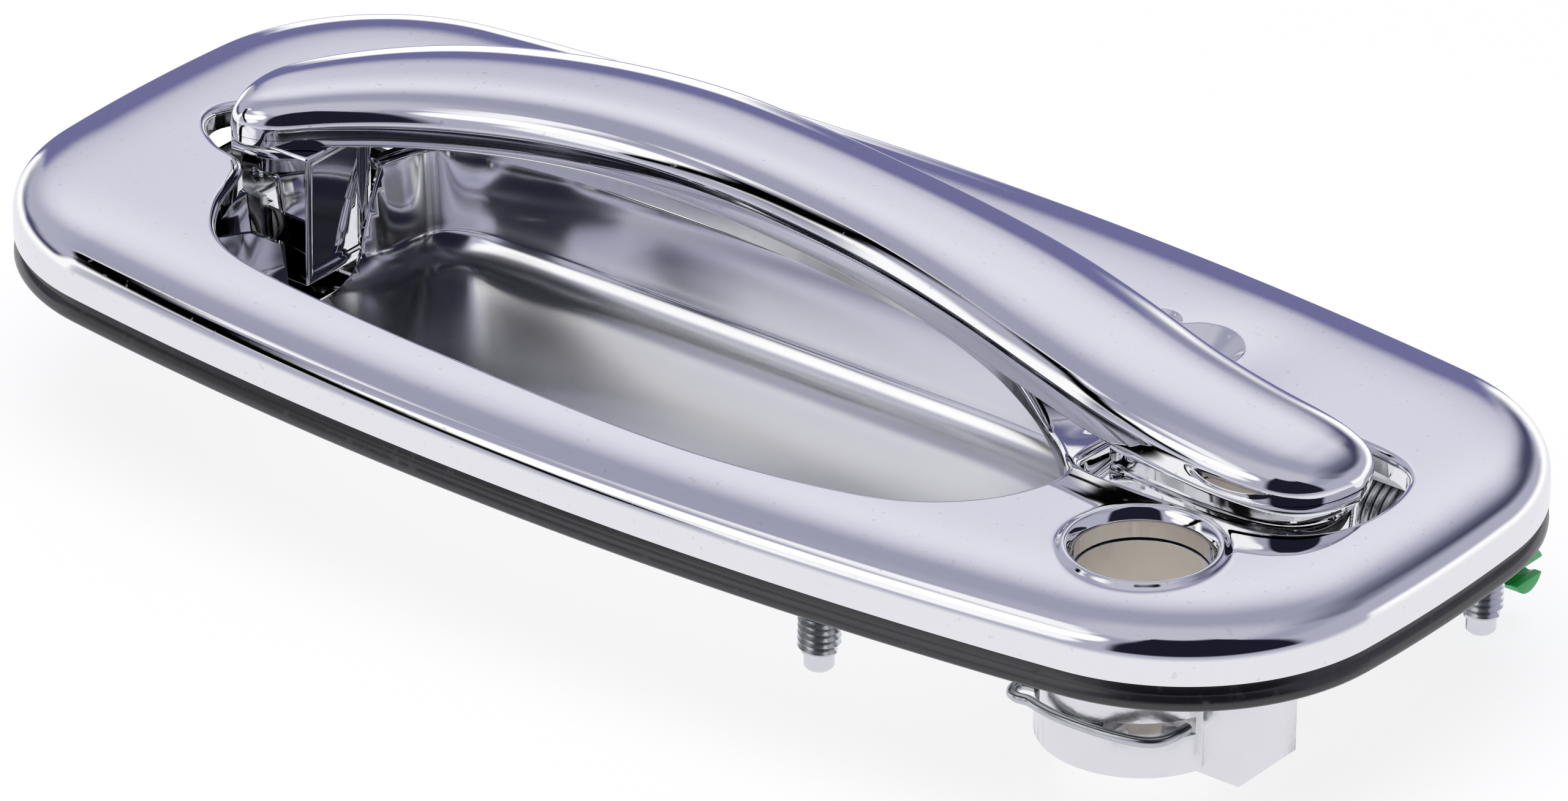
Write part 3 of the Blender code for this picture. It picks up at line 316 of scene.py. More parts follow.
def noise(tree, scale, detail=2.0, stretch=(1.0, 1.0, 1.0)):
    """Noise on object coordinates; the scale is in cells for each metre."""
    place = add(tree, "ShaderNodeTexCoord", output=3)
    stretched = add(tree, "ShaderNodeMapping", None, {"Vector": place, "Scale": stretch})
    return add(tree, "ShaderNodeTexNoise", None,
               {"Vector": stretched, "Scale": scale, "Detail": detail})


def feed(tree, shader, key, wire):
    tree.links.new(wire.socket, shader.inputs[key])


def bumped(tree, shader, height, distance, strength=1.0):
    """Feeds a height pattern to the shader's normal."""
    feed(tree, shader, "Normal", add(tree, "ShaderNodeBump", None,
                                     {"Strength": strength, "Distance": distance,
                                      "Height": height}))


# %% [markdown]
# ## Finishes
# Chrome plate has almost no colour of its own. What separates it from a perfect mirror
# is a faint haze of handling marks and the slow unevenness of a polished casting, both
# far too small to bend the outline. The zinc pieces under the plate are plated without
# polishing, so they keep the casting's grain. Steel parts are zinc plated, the gasket is
# moulded rubber.


# %% Chrome
def chrome_finish():
    material, tree, shader = finish("chrome", (0.86, 0.86, 0.87), 0.045, 1.0)
    haze = noise(tree, 45.0, 3.0).step(0.5, 0.78)
    specks = noise(tree, 900.0, 1.0).step(0.70, 0.76)
    feed(tree, shader, "Roughness", haze * 0.035 + specks * 0.10 + 0.03)
    feed(tree, shader, "Base Color", mix(tree, specks * 0.35 + haze * 0.06,
                                         (0.86, 0.86, 0.87), (0.60, 0.60, 0.64)))
    bumped(tree, shader, noise(tree, 60.0, 1.0), 0.00002, 0.35)
    return material


def pan_finish():
    """Pressed and plated sheet: mirror walls, and a floor left satin by the press."""
    material, tree, shader = finish("pan_chrome", (0.93, 0.93, 0.94), 0.1, 1.0)
    place = add(tree, "ShaderNodeTexCoord", output=3)
    parts = tree.nodes.new("ShaderNodeSeparateXYZ")
    tree.links.new(place.socket, parts.inputs[0])
    low = 1 - Wire(tree, parts.outputs[2]).step(-0.0072, -0.0035)
    haze = noise(tree, 40.0, 3.0)
    feed(tree, shader, "Roughness", low * 0.19 + haze * 0.06 + 0.04)
    bumped(tree, shader, noise(tree, 50.0, 1.0), 0.00003, 0.4)
    return material


chrome = chrome_finish()
pan_chrome = pan_finish()


# %% Castings
def cast_finish(name, colour, roughness, grain, metallic=1.0):
    material, tree, shader = finish(name, colour, roughness, metallic)
    coarse = noise(tree, 260.0, 4.0)
    fine = noise(tree, 1500.0, 2.0)
    stain = noise(tree, 70.0, 3.0).step(0.48, 0.75)
    darker = tuple(0.55 * c for c in colour)
    feed(tree, shader, "Base Color", mix(tree, stain * 0.55, colour, darker))
    feed(tree, shader, "Roughness", coarse * 0.22 + stain * 0.12 + roughness - 0.11)
    bumped(tree, shader, coarse * 0.7 + fine * 0.3, grain, 0.6)
    return material


cast_zinc = cast_finish("plated_casting", (0.80, 0.80, 0.81), 0.24, 0.00012)
dark_casting = cast_finish("dark_casting", (0.20, 0.20, 0.21), 0.45, 0.0002)


# %% Steel, wire, rubber and plastics
def steel_finish(name, colour, roughness, stretch):
    """Drawn or turned metal: fine lines along one axis, and a little dullness."""
    material, tree, shader = finish(name, colour, roughness, 1.0)
    lines = noise(tree, 1800.0, 2.0, stretch)
    dull = noise(tree, 120.0, 3.0).step(0.45, 0.7)
    feed(tree, shader, "Roughness", lines * 0.14 + dull * 0.12 + roughness - 0.07)
    feed(tree, shader, "Base Color", mix(tree, dull * 0.4, colour,
                                         tuple(0.7 * c for c in colour)))
    bumped(tree, shader, lines, 0.00003, 0.5)
    return material


zinc_steel = steel_finish("zinc_plated_steel", (0.72, 0.73, 0.75), 0.24, (1, 1, 0.15))
spring_steel = steel_finish("spring_steel", (0.55, 0.56, 0.58), 0.22, (0.2, 0.2, 1))


def rubber_finish():
    material, tree, shader = finish("black_rubber", (0.012, 0.012, 0.014), 0.3,
                                    Specular_IOR_Level=0.8)
    dust = noise(tree, 500.0, 4.0).step(0.55, 0.8)
    skin = noise(tree, 3500.0, 2.0)
    feed(tree, shader, "Base Color", mix(tree, dust * 0.6, (0.012, 0.012, 0.014),
                                         (0.05, 0.05, 0.055)))
    feed(tree, shader, "Roughness", dust * 0.25 + skin * 0.08 + 0.20)
    bumped(tree, shader, skin, 0.00003, 0.25)
    return material


def plastic_finish(name, colour, roughness):
    material, tree, shader = finish(name, colour, roughness)
    mottle = noise(tree, 350.0, 3.0)
    feed(tree, shader, "Base Color", mix(tree, mottle * 0.5, colour,
                                         tuple(0.75 * c for c in colour)))
    feed(tree, shader, "Roughness", mottle * 0.2 + roughness - 0.1)
    bumped(tree, shader, noise(tree, 2500.0, 2.0), 0.00003, 0.3)
    return material


rubber = rubber_finish()
nylon = plastic_finish("white_nylon", (0.75, 0.74, 0.70), 0.45)
green_plastic = plastic_finish("green_plastic", (0.03, 0.42, 0.10), 0.35)
bore_zinc = cast_finish("bare_bore", (0.86, 0.82, 0.75), 0.40, 0.0001, 0.45)

# %% [markdown]
# ## The cover plate
# The plate is a shallow pillow pierced by three holes. Its top obeys one rule: the height
# depends on how far a point is from the rim and from each hole. So the surface is
# computed, not modelled: points are laid on loops that follow every edge and on a grid
# between them, joined by Delaunay triangles, and lifted by the rule. The same rule gives
# the exact normal at each point, and exact normals are what keep a mirror clean.

# %% The plate's outline and its holes
CORNER, LONG_BULGE, SHORT_BULGE = 33.0, 5.8, 0.5
CUP_OPENING = ((-96.9, -3.4), (-94.0, -7.6), (-88.6, -10.9), (-85.0, -11.4), (-82.7, -13.0),
               (-80.5, -18.1), (-77.8, -24.4), (-72.3, -31.3), (-64.0, -35.3), (-50.0, -37.5),
               (-30.0, -39.4), (0.0, -41.0), (20.0, -40.7), (38.0, -38.0), (50.0, -33.8),
               (58.3, -25.8), (61.6, -16.4), (60.3, -13.2), (51.9, -5.0), (43.1, 1.5),
               (31.0, 8.0), (15.0, 13.5), (-10.0, 17.0), (-40.0, 17.5), (-65.0, 14.0),
               (-80.0, 8.8), (-89.5, 6.6), (-95.3, 1.0))
POCKET_OPENING = ((60.6, -8.0), (61.6, -11.3), (66.0, -12.4), (80.0, -12.2), (91.0, -11.9),
                  (96.4, -9.0), (99.9, -3.8), (100.9, 3.3), (99.6, 10.6), (96.5, 14.8),
                  (89.0, 16.6), (74.0, 17.0), (64.0, 16.6), (60.8, 12.0), (60.4, 2.0))
LOCK = np.array([82.6, -25.8])
LOCK_RADIUS = 9.3


def bulged_side(start, end, sagitta, reach, steps):
    """Points a reach outside a shallow arc between two corner centres."""
    start, end = np.array(start, float), np.array(end, float)
    chord = end - start
    length = np.hypot(*chord)
    radius = (length ** 2 / 4 + sagitta ** 2) / (2 * sagitta)
    outward = np.array([chord[1], -chord[0]]) / length
    centre = (start + end) / 2 - outward * (radius - sagitta)
    swing = 2 * math.asin(length / 2 / radius)
    first = math.atan2(*(start - centre)[::-1])
    turn = first + swing * np.linspace(0, 1, steps)
    return centre + (radius + reach) * np.column_stack([np.cos(turn), np.sin(turn)])


def plate_ring(inset, spacing=1.0):
    """The plate's rounded rectangle with bulging sides, moved in by an inset."""
    half = PLATE_HIGH[:2] - CORNER - np.array([SHORT_BULGE, LONG_BULGE])
    corners = [(half[0], -half[1]), tuple(half), (-half[0], half[1]), tuple(-half)]
    path = []
    for k in range(4):
        bulge = SHORT_BULGE if k % 2 == 0 else LONG_BULGE
        side = bulged_side(corners[k], corners[(k + 1) % 4], bulge, CORNER - inset, 80)
        path.append(side)
        hub = np.array(corners[(k + 1) % 4])
        first = math.atan2(*(side[-1] - hub)[::-1])
        following = bulged_side(corners[(k + 1) % 4], corners[(k + 2) % 4],
                                LONG_BULGE if k % 2 == 0 else SHORT_BULGE, CORNER - inset, 2)
        last = math.atan2(*(following[0] - hub)[::-1])
        swing = (last - first) % math.tau
        turn = first + swing * np.linspace(0, 1, 40)[1:-1]
        path.append(hub + (CORNER - inset) * np.column_stack([np.cos(turn), np.sin(turn)]))
    return even(np.vstack(path), spacing)


def circle(centre, radius, count):
    turn = math.tau * np.arange(count) / count
    return np.array(centre) + radius * np.column_stack([np.cos(turn), np.sin(turn)])


rim = plate_ring(0.0)
holes = [outline(CUP_OPENING), outline(POCKET_OPENING), circle(LOCK, LOCK_RADIUS, 96)]
print("rim points:", len(rim), "hole points:", [len(h) for h in holes])

# %% The rule for the plate's height
RIM_TOP = PLATE_LOW[2] + 1.8        # top of the upright rim wall
CROWN_TOP = PLATE_HIGH[2]
SHOULDER, FULLNESS = 20.0, 3.5      # reach and squareness of the pillow's shoulder
UNDERSIDE = CROWN_TOP - 3.4
RIM_WALL = 2.4
LIP = 1.3                           # radius of the rolled edge round each hole
SADDLE, SADDLE_REACH, SADDLE_TURN, SADDLE_DIP = (53.0, 6.0), (8.5, 19.0), -14.0, 2.1
SCOOPS = ((54.0, 26.6, 6.5, 2.4), (45.6, 29.3, 3.0, 1.2))
RING_RADIUS, RING_WIDTH, RING_HEIGHT = 10.6, 0.9, 0.75


def plate_top(points):
    """Height and slope of the plate's top at points in plan."""
    gap, inward = nearest(points, rim)
    u = np.clip(1 - gap / SHOULDER, 0, 1)
    fall = np.maximum(1 - u ** FULLNESS, 1e-7)
    rise = CROWN_TOP - RIM_TOP
    height = RIM_TOP + rise * fall ** (1 / FULLNESS)
    steep = rise / SHOULDER * u ** (FULLNESS - 1) * fall ** (1 / FULLNESS - 1)
    slope = steep[:, None] * inward

    turn = math.radians(SADDLE_TURN)
    axes = np.array([[math.cos(turn), math.sin(turn)], [-math.sin(turn), math.cos(turn)]])
    local = (points - SADDLE) @ axes.T / SADDLE_REACH
    dip = SADDLE_DIP * np.exp(-(local ** 2).sum(1))
    height -= dip
    slope += 2 * dip[:, None] * (local / SADDLE_REACH) @ axes

    for x, y, radius, depth in SCOOPS:
        away = points - (x, y)
        q = 1 - (away ** 2).sum(1) / radius ** 2
        bowl = np.maximum(q, 1e-9)
        height -= np.where(q > 0, depth * bowl ** 1.2, 0)
        pull = np.where(q > 0, depth * 2.4 / radius ** 2 * bowl ** 0.2, 0)
        slope += pull[:, None] * away

    away = points - LOCK
    reach = np.maximum(np.hypot(*away.T), 1e-6)
    share = (reach - RING_RADIUS) / RING_WIDTH
    ridge = RING_HEIGHT * np.exp(-share ** 2)
    height += ridge
    slope -= (2 * share / RING_WIDTH * ridge / reach)[:, None] * away

    for path in holes:
        gap, outward = nearest(points, path, -1)
        gap = np.clip(gap, 0, LIP)
        rest = np.sqrt(np.maximum(LIP ** 2 - (LIP - gap) ** 2, 1e-6))
        height -= LIP - rest
        slope += ((LIP - gap) / rest)[:, None] * outward
    return height, slope


def edge_steps(reach, count):
    """Distances from an edge that lie close together where the surface turns fast."""
    return reach * (1 - np.cos(np.linspace(0, math.pi / 2, count)))


# %% Triangles for a region in plan
def triangulate(loops, scattered):
    """Delaunay triangles over loops, whose edges are kept, and scattered points."""
    points, edges = [], []
    for loop in loops:
        first = len(points)
        points += [Vector(p) for p in loop]
        edges += [(first + k, first + (k + 1) % len(loop)) for k in range(len(loop))]
    points += [Vector(p) for p in scattered]
    found, _, faces, *_ = geometry.delaunay_2d_cdt(points, edges, [], 0, 1e-6, False)
    return np.array([tuple(p) for p in found]), np.array(faces)


def grid(low, high, pitch):
    xs = np.arange(low[0], high[0], pitch)
    ys = np.arange(low[1], high[1], pitch * 0.866)
    rows = [np.column_stack([xs + (pitch / 2 if k % 2 else 0), np.full(len(xs), y)])
            for k, y in enumerate(ys)]
    return np.vstack(rows)


def plate_plan():
    """Loops along every edge and a grid between them."""
    loops = [plate_ring(d, 1.0 + 0.2 * (d > 3)) for d in edge_steps(9.0, 14)]
    loops += [plate_ring(RIM_WALL), plate_ring(RIM_WALL + 0.02)]
    for path in holes:
        loops += [path if d == 0 else moved_out(path, d) for d in edge_steps(LIP, 8)]
    loops += [circle(LOCK, LOCK_RADIUS + LIP + d, 96) for d in np.arange(0.25, 2.8, 0.25)]
    for x, y, radius, _ in SCOOPS:
        loops += [circle((x, y), radius * s, 40) for s in (0.25, 0.5, 0.7, 0.85, 0.95, 1.0)]
    loose = grid(PLATE_LOW[:2], PLATE_HIGH[:2], 1.15)
    keep = inside(loose, rim) & (nearest(loose, rim)[0] > 9.4)
    for path in holes:
        keep &= ~inside(loose, path) & (nearest(loose, path)[0] > LIP + 0.5)
    keep &= np.hypot(*(loose - LOCK).T) > LOCK_RADIUS + LIP + 3.1
    for x, y, radius, _ in SCOOPS:
        keep &= np.hypot(*(loose - (x, y)).T) > radius + 0.5
    points, faces = triangulate(loops, loose[keep])
    middle = points[faces].mean(1)
    solid = inside(middle, rim)
    for path in holes:
        solid &= ~inside(middle, path)
    faces = faces[solid]
    a, b, c = (points[faces[:, k]] for k in range(3))
    area = np.cross(b - a, c - a)
    faces = np.where((area < 0)[:, None], faces[:, ::-1], faces)
    return points, faces[np.abs(area) > 1e-7]


def closed_sheet(points, faces, top, bottom, slope):
    """A solid between two heights over one triangulation, with exact top normals."""
    count = len(points)
    edges = np.vstack([faces[:, [0, 1]], faces[:, [1, 2]], faces[:, [2, 0]]])
    have = set(map(tuple, edges))
    border = np.array([e for e in edges if (e[1], e[0]) not in have])
    sides = np.column_stack([border[:, 1], border[:, 0], border[:, 0] + count,
                             border[:, 1] + count])
    solid = np.vstack([np.column_stack([points, top]), np.column_stack([points, bottom])])
    up = np.column_stack([-slope, np.ones(count)])
    up /= np.linalg.norm(up, axis=1)[:, None]
    flat = up * (1, 1, 0)
    flat /= np.maximum(np.linalg.norm(flat, axis=1), 1e-9)[:, None]
    below = np.tile((0.0, 0.0, -1.0), (faces.size, 1))
    walls = np.vstack([flat, flat])[sides.ravel()]
    normals = np.vstack([up[faces.ravel()], below, walls])
    return solid, [*faces, *(faces[:, ::-1] + count), *sides], normals


def build_plate():
    points, faces = plate_plan()
    top, slope = plate_top(points)
    gap, _ = nearest(points, rim)
    bottom = np.where(gap < RIM_WALL + 0.01, PLATE_LOW[2], UNDERSIDE)
    solid, faces, normals = closed_sheet(points, faces, top, bottom, slope)
    return add_piece("cover_plate", solid, faces, chrome, normals)


plate = build_plate()
hand_over(plate, "base", "chrome", "bezel_plate")

# %% [markdown]
# ## The strap
# The strap is swept: a cross-section travels along it while its two edges follow their
# own curves in plan, its base bows up in the middle and its ends close like the end of
# an egg. The section is a superellipse, squarer on the near side where the fingers pull
# than on the far side. A shell like this could be a subdivision surface, but a sweep
# keeps its highlights on one clean line from end to end.

# %% The strap's rule
GRIP_SECTIONS = (((-88.2, -9.5), (-88.5, -8.6)), ((-87.6, -10.1), (-89.3, -6.9)),
                 ((-85.6, -11.3), (-91.0, -1.5)), ((-80.4, -10.2), (-90.6, 7.0)),
                 ((-73.9, -4.9), (-83.2, 17.4)), ((-65.5, 0.2), (-72.9, 25.6)),
                 ((-55.7, 4.2), (-60.5, 30.8)), ((-44.3, 7.3), (-46.0, 34.0)),
                 ((-31.5, 8.9), (-30.9, 34.8)), ((-17.0, 8.6), (-15.8, 33.3)),
                 ((-1.5, 6.8), (0.3, 31.1)), ((14.0, 4.1), (17.0, 28.6)),
                 ((30.0, 0.1), (34.5, 25.3)), ((47.0, -5.0), (50.5, 20.8)),
                 ((62.0, -9.0), (64.3, 16.4)), ((76.0, -10.7), (76.5, 14.0)),
                 ((88.5, -10.2), (87.2, 13.1)), ((95.0, -7.6), (93.8, 10.8)),
                 ((97.7, -3.0), (97.3, 6.8)), ((98.3, 1.2), (98.3, 2.6)))
GRIP_END_Z, GRIP_BOW, GRIP_BOW_REACH = 12.8, 3.6, 92.0
GRIP_HEIGHT, GRIP_END_HEIGHT, GRIP_TAPER_REACH = 8.2, 6.0, 96.0
GRIP_LINER = 1.9                    # the liner's visible edge
ROUND_LENGTH, ROUND_FULLNESS = 9.0, 2.6
NEAR_FULLNESS, FAR_FULLNESS = 3.4, 2.3


def grip_edges():
    """Near and far edge points in even steps, relaxed so that the sweep has no waves."""
    flat = np.array([(*near, *far) for near, far in GRIP_SECTIONS])
    path = even(curve_through(flat, 12, closed=False), 1.3, closed=False)
    return relax(path, 14, closed=False)


def grip_base(x):
    return GRIP_END_Z + GRIP_BOW * np.maximum(0, 1 - (x / GRIP_BOW_REACH) ** 2)


def grip_height(x):
    rise = np.maximum(0, 1 - np.abs(x / GRIP_TAPER_REACH) ** 4)
    return GRIP_END_HEIGHT + (GRIP_HEIGHT - GRIP_END_HEIGHT) * rise


def closed_sweep(rings):
    """Faces of a skin through equal rings, with its two ends closed."""
    count, width = rings.shape[:2]
    faces = []
    for j in range(count - 1):
        for k in range(width):
            a, b = j * width + k, j * width + (k + 1) % width
            faces.append((a, b, b + width, a + width))
    faces.append(tuple(range(width - 1, -1, -1)))
    faces.append(tuple((count - 1) * width + k for k in range(width)))
    return rings.reshape(-1, 3), faces


def sharpen(piece, degrees):
    """Smooth shading with hard edges past an angle."""
    piece.data.set_sharp_from_angle(angle=math.radians(degrees))
    return piece


def face_out(piece):
    """Turns every face of a closed mesh to the outside."""
    shape = bmesh.new()
    shape.from_mesh(piece.data)
    bmesh.ops.remove_doubles(shape, verts=shape.verts, dist=0.001 * MM)
    bmesh.ops.recalc_face_normals(shape, faces=shape.faces)
    shape.to_mesh(piece.data)
    shape.free()
    return piece


def build_strap_cover():
    path = grip_edges()
    near, far = path[:, :2], path[:, 2:]
    middle = (near + far) / 2
    x = middle[:, 0]
    travel = np.concatenate([[0], np.cumsum(np.linalg.norm(np.diff(middle, axis=0), axis=1))])
    from_end = np.minimum(travel, travel[-1] - travel)
    share = np.clip(1 - from_end / ROUND_LENGTH, 0, 1)
    close = (1 - share ** ROUND_FULLNESS) ** (1 / ROUND_FULLNESS)
    base = grip_base(x) + GRIP_LINER
    height = (grip_height(x) - GRIP_LINER) * close
    turn = np.linspace(0, math.pi, 49)
    full = np.where(turn < math.pi / 2, NEAR_FULLNESS, FAR_FULLNESS)
    lateral = np.sign(np.cos(turn)) * np.abs(np.cos(turn)) ** (2 / full)
    rise = np.abs(np.sin(turn)) ** (2 / full)
    mix_in = (0.5 - 0.5 * lateral)[None, :, None]
    plan = near[:, None] * (1 - mix_in) + far[:, None] * mix_in
    z = base[:, None] + height[:, None] * rise[None, :]
    rings = np.concatenate([plan, z[..., None]], axis=2)
    points, faces = closed_sweep(rings)
    return sharpen(face_out(add_piece("strap_cover", points, faces, chrome)), 50)


strap_cover = build_strap_cover()
hand_over(strap_cover, "strap", "chrome", "grip_cover")


# %% [markdown]
# ## The strap's inner half
# Under the cover sits a liner whose edge shows as a thin band. At the narrow end it grows
# the hinge leg, at the lock end a skirt that reaches down into the pocket and hides the
# pull hook. They are separate closed shells in one mesh. Leg and hook have soft edges.

# %% The liner, leg, skirt and hook
LEG = ((-88.0, -74.0), (-9.8, 4.6), (-6.0, 14.2))
HUB_RADIUS, HINGE_XZ = 5.5, (-89.0, -3.0)
LEG_FRAME, LEG_PANEL, LEG_PANEL_DEPTH, LEG_SOFT = 1.6, 1.1, 0.9, 0.45
NEAR_LEG = 0.1                      # how far past the leg a vertex still belongs to it
SKIRT_LEFT, SKIRT_INSET, SKIRT_BOTTOM = 62.0, 1.5, 3.0
HOOK = ((70.5, 77.5), (-2.8, -0.6), (-22.8, 13.6))
HOOK_FOOT = ((70.6, 77.4), (-2.7, 6.8), (-22.8, -20.6))


def block(shape, limits):
    """Adds a box between limits in millimetres to a bmesh. Returns its vertices."""
    made = bmesh.ops.create_cube(shape, size=1.0)["verts"]
    low, high = np.array(limits, float).T
    matrix = Matrix.Translation((low + high) / 2) @ Matrix.Diagonal((*(high - low), 1.0))
    bmesh.ops.transform(shape, matrix=matrix, verts=made)
    return made


def softened(shape, verts, width, segments=3):
    """Bevels the edges of some of a bmesh's vertices."""
    edges = {e for v in verts for e in v.link_edges if e.calc_face_angle(0.0) > 0.5}
    bmesh.ops.bevel(shape, geom=list(edges), offset=width, segments=segments, profile=0.5,
                    affect='EDGES', clamp_overlap=True)


def shell(name, shape, finish, degrees=35):
    """A piece from a bmesh in millimetres. With no angle its faces stay as they point."""
    shape.transform(Matrix.Scale(MM, 4))
    if degrees:
        bmesh.ops.recalc_face_normals(shape, faces=shape.faces)
    mesh = bpy.data.meshes.new(name)
    shape.to_mesh(mesh)
    shape.free()
    piece = dressed(name, mesh, finish)
    return sharpen(piece, degrees) if degrees else piece


def add_sweep(shape, rings):
    """Adds a closed skin through rings to a bmesh."""
    points, faces = closed_sweep(rings)
    verts = [shape.verts.new(p) for p in points]
    for face in faces:
        shape.faces.new([verts[k] for k in face])
    return verts


def liner_rings(path):
    """Rounded strip sections under the cover's edge."""
    near, far = path[:, :2], path[:, 2:]
    across = far - near
    width = np.linalg.norm(across, axis=1)[:, None]
    across /= np.maximum(width, 1e-6)
    base = grip_base((near + far)[:, 0] / 2)
    top, soft = GRIP_LINER - 0.25, 0.7
    profile = [(0.35, top), (0.35, soft)]
    profile += [(0.35 + soft * (1 - math.cos(t)), soft * (1 - math.sin(t)))
                for t in np.linspace(0.2, math.pi / 2, 5)]
    profile += [(3.2, 0.0), (4.6, 0.5)]
    rings = []
    for inset, lift in profile:
        inset = np.minimum(inset, 0.45 * width)
        rings.append(np.column_stack([near + across * inset, base + lift]))
    for inset, lift in reversed(profile):
        inset = np.minimum(inset, 0.45 * width)
        rings.append(np.column_stack([far - across * inset, base + lift]))
    return np.array(rings).transpose(1, 0, 2)


def skirt_rings(path):
    """The skirt's outline at each level, from inside the liner to its rounded foot."""
    keep = (path[:, 0] + path[:, 2]) / 2 > SKIRT_LEFT
    loop = np.vstack([path[keep][:, :2], path[keep][::-1][:, 2:]])
    loop = relax(even(loop, 1.0), 10)
    loop = moved_out(loop, -SKIRT_INSET)
    top = GRIP_END_Z + 0.6
    levels = [(0.0, top), (0.0, top - 1.6), (-0.5, top - 1.9), (-0.5, top - 2.4),
              (-0.1, top - 2.7), (0.0, top - 3.2), (0.0, SKIRT_BOTTOM + 0.8),
              (-0.25, SKIRT_BOTTOM + 0.2), (-0.8, SKIRT_BOTTOM), (-1.8, SKIRT_BOTTOM),
              (-2.2, SKIRT_BOTTOM + 0.5), (-2.2, top - 0.8)]
    rings = []
    for shift, z in levels:
        ring = moved_out(loop, shift)
        rings.append(np.column_stack([ring, np.full(len(ring), z)]))
    return np.array(rings)


def add_leg(shape):
    """The hinge leg: a block with a framed panel on its face, and a hub round the pin."""
    verts = block(shape, LEG)
    front = next(f for f in {f for v in verts for f in v.link_faces} if f.normal.x > 0.9)
    bmesh.ops.inset_region(shape, faces=[front], thickness=LEG_FRAME, depth=0.0)
    bmesh.ops.inset_region(shape, faces=[front], thickness=LEG_PANEL, depth=-LEG_PANEL_DEPTH)
    (left, right), (_, far), (_, top) = LEG
    verts = list({v for v in shape.verts if v.is_valid
                  and left - NEAR_LEG <= v.co.x <= right + NEAR_LEG
                  and v.co.y <= far + NEAR_LEG and v.co.z <= top + NEAR_LEG})
    softened(shape, verts, LEG_SOFT)
    hub = bmesh.ops.create_cone(shape, cap_ends=True, segments=48, radius1=HUB_RADIUS,
                                radius2=HUB_RADIUS, depth=LEG[1][1] - LEG[1][0] - 0.02)
    place = Vector((HINGE_XZ[0], sum(LEG[1]) / 2, HINGE_XZ[1]))
    bmesh.ops.transform(shape, verts=hub["verts"],
                        matrix=Matrix.Translation(place) @ Matrix.Rotation(math.pi / 2, 4, 'X'))


def build_strap_liner():
    path = grip_edges()
    shape = bmesh.new()
    add_leg(shape)
    add_sweep(shape, liner_rings(path))
    add_sweep(shape, skirt_rings(path))
    for limits in (HOOK, HOOK_FOOT):
        softened(shape, block(shape, limits), 0.4, 2)
    return shell("strap_liner", shape, chrome)


strap_liner = build_strap_liner()
hand_over(strap_liner, "strap", "chrome", "grip_liner")

# %% [markdown]
# ## The finger cup
# The cup is pressed from one sheet: a flange under the plate, a wall that leans in a
# little, a generous fillet and an almost flat floor. It is made as one open surface that
# follows the mouth's outline down, and Solidify gives it its thickness.

# %% The cup
CUP_MOUTH = ((-81.6, -13.0), (-80.4, -20.0), (-76.5, -27.5), (-69.5, -34.0), (-57.0, -37.6),
             (-38.0, -39.5), (0.0, -41.6), (20.0, -41.3), (38.0, -38.7), (50.0, -34.6),
             (57.0, -28.0), (60.3, -19.0), (60.0, -8.0), (57.5, 4.0), (50.0, 14.0),
             (38.0, 18.0), (10.0, 18.6), (-40.0, 18.6), (-60.0, 18.0), (-68.5, 15.0),
             (-71.6, 9.0), (-72.4, 4.0), (-75.0, -1.0), (-79.0, -6.0))
CUP_LOW, CUP_HIGH = span("finger_cup")
CUP_SHEET, CUP_FLANGE, CUP_FILLET, CUP_DRAFT = 1.6, 2.6, 5.0, 1.6
CUP_FLOOR = CUP_LOW[2] + CUP_SHEET
CUP_RIM_SOFT = 0.8                  # radius between the flange and the wall
CUP_SKIN = 1.2                      # the visible sheet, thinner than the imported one
WINDOW = ((-110.0, -72.3), (-13.8, 4.9))


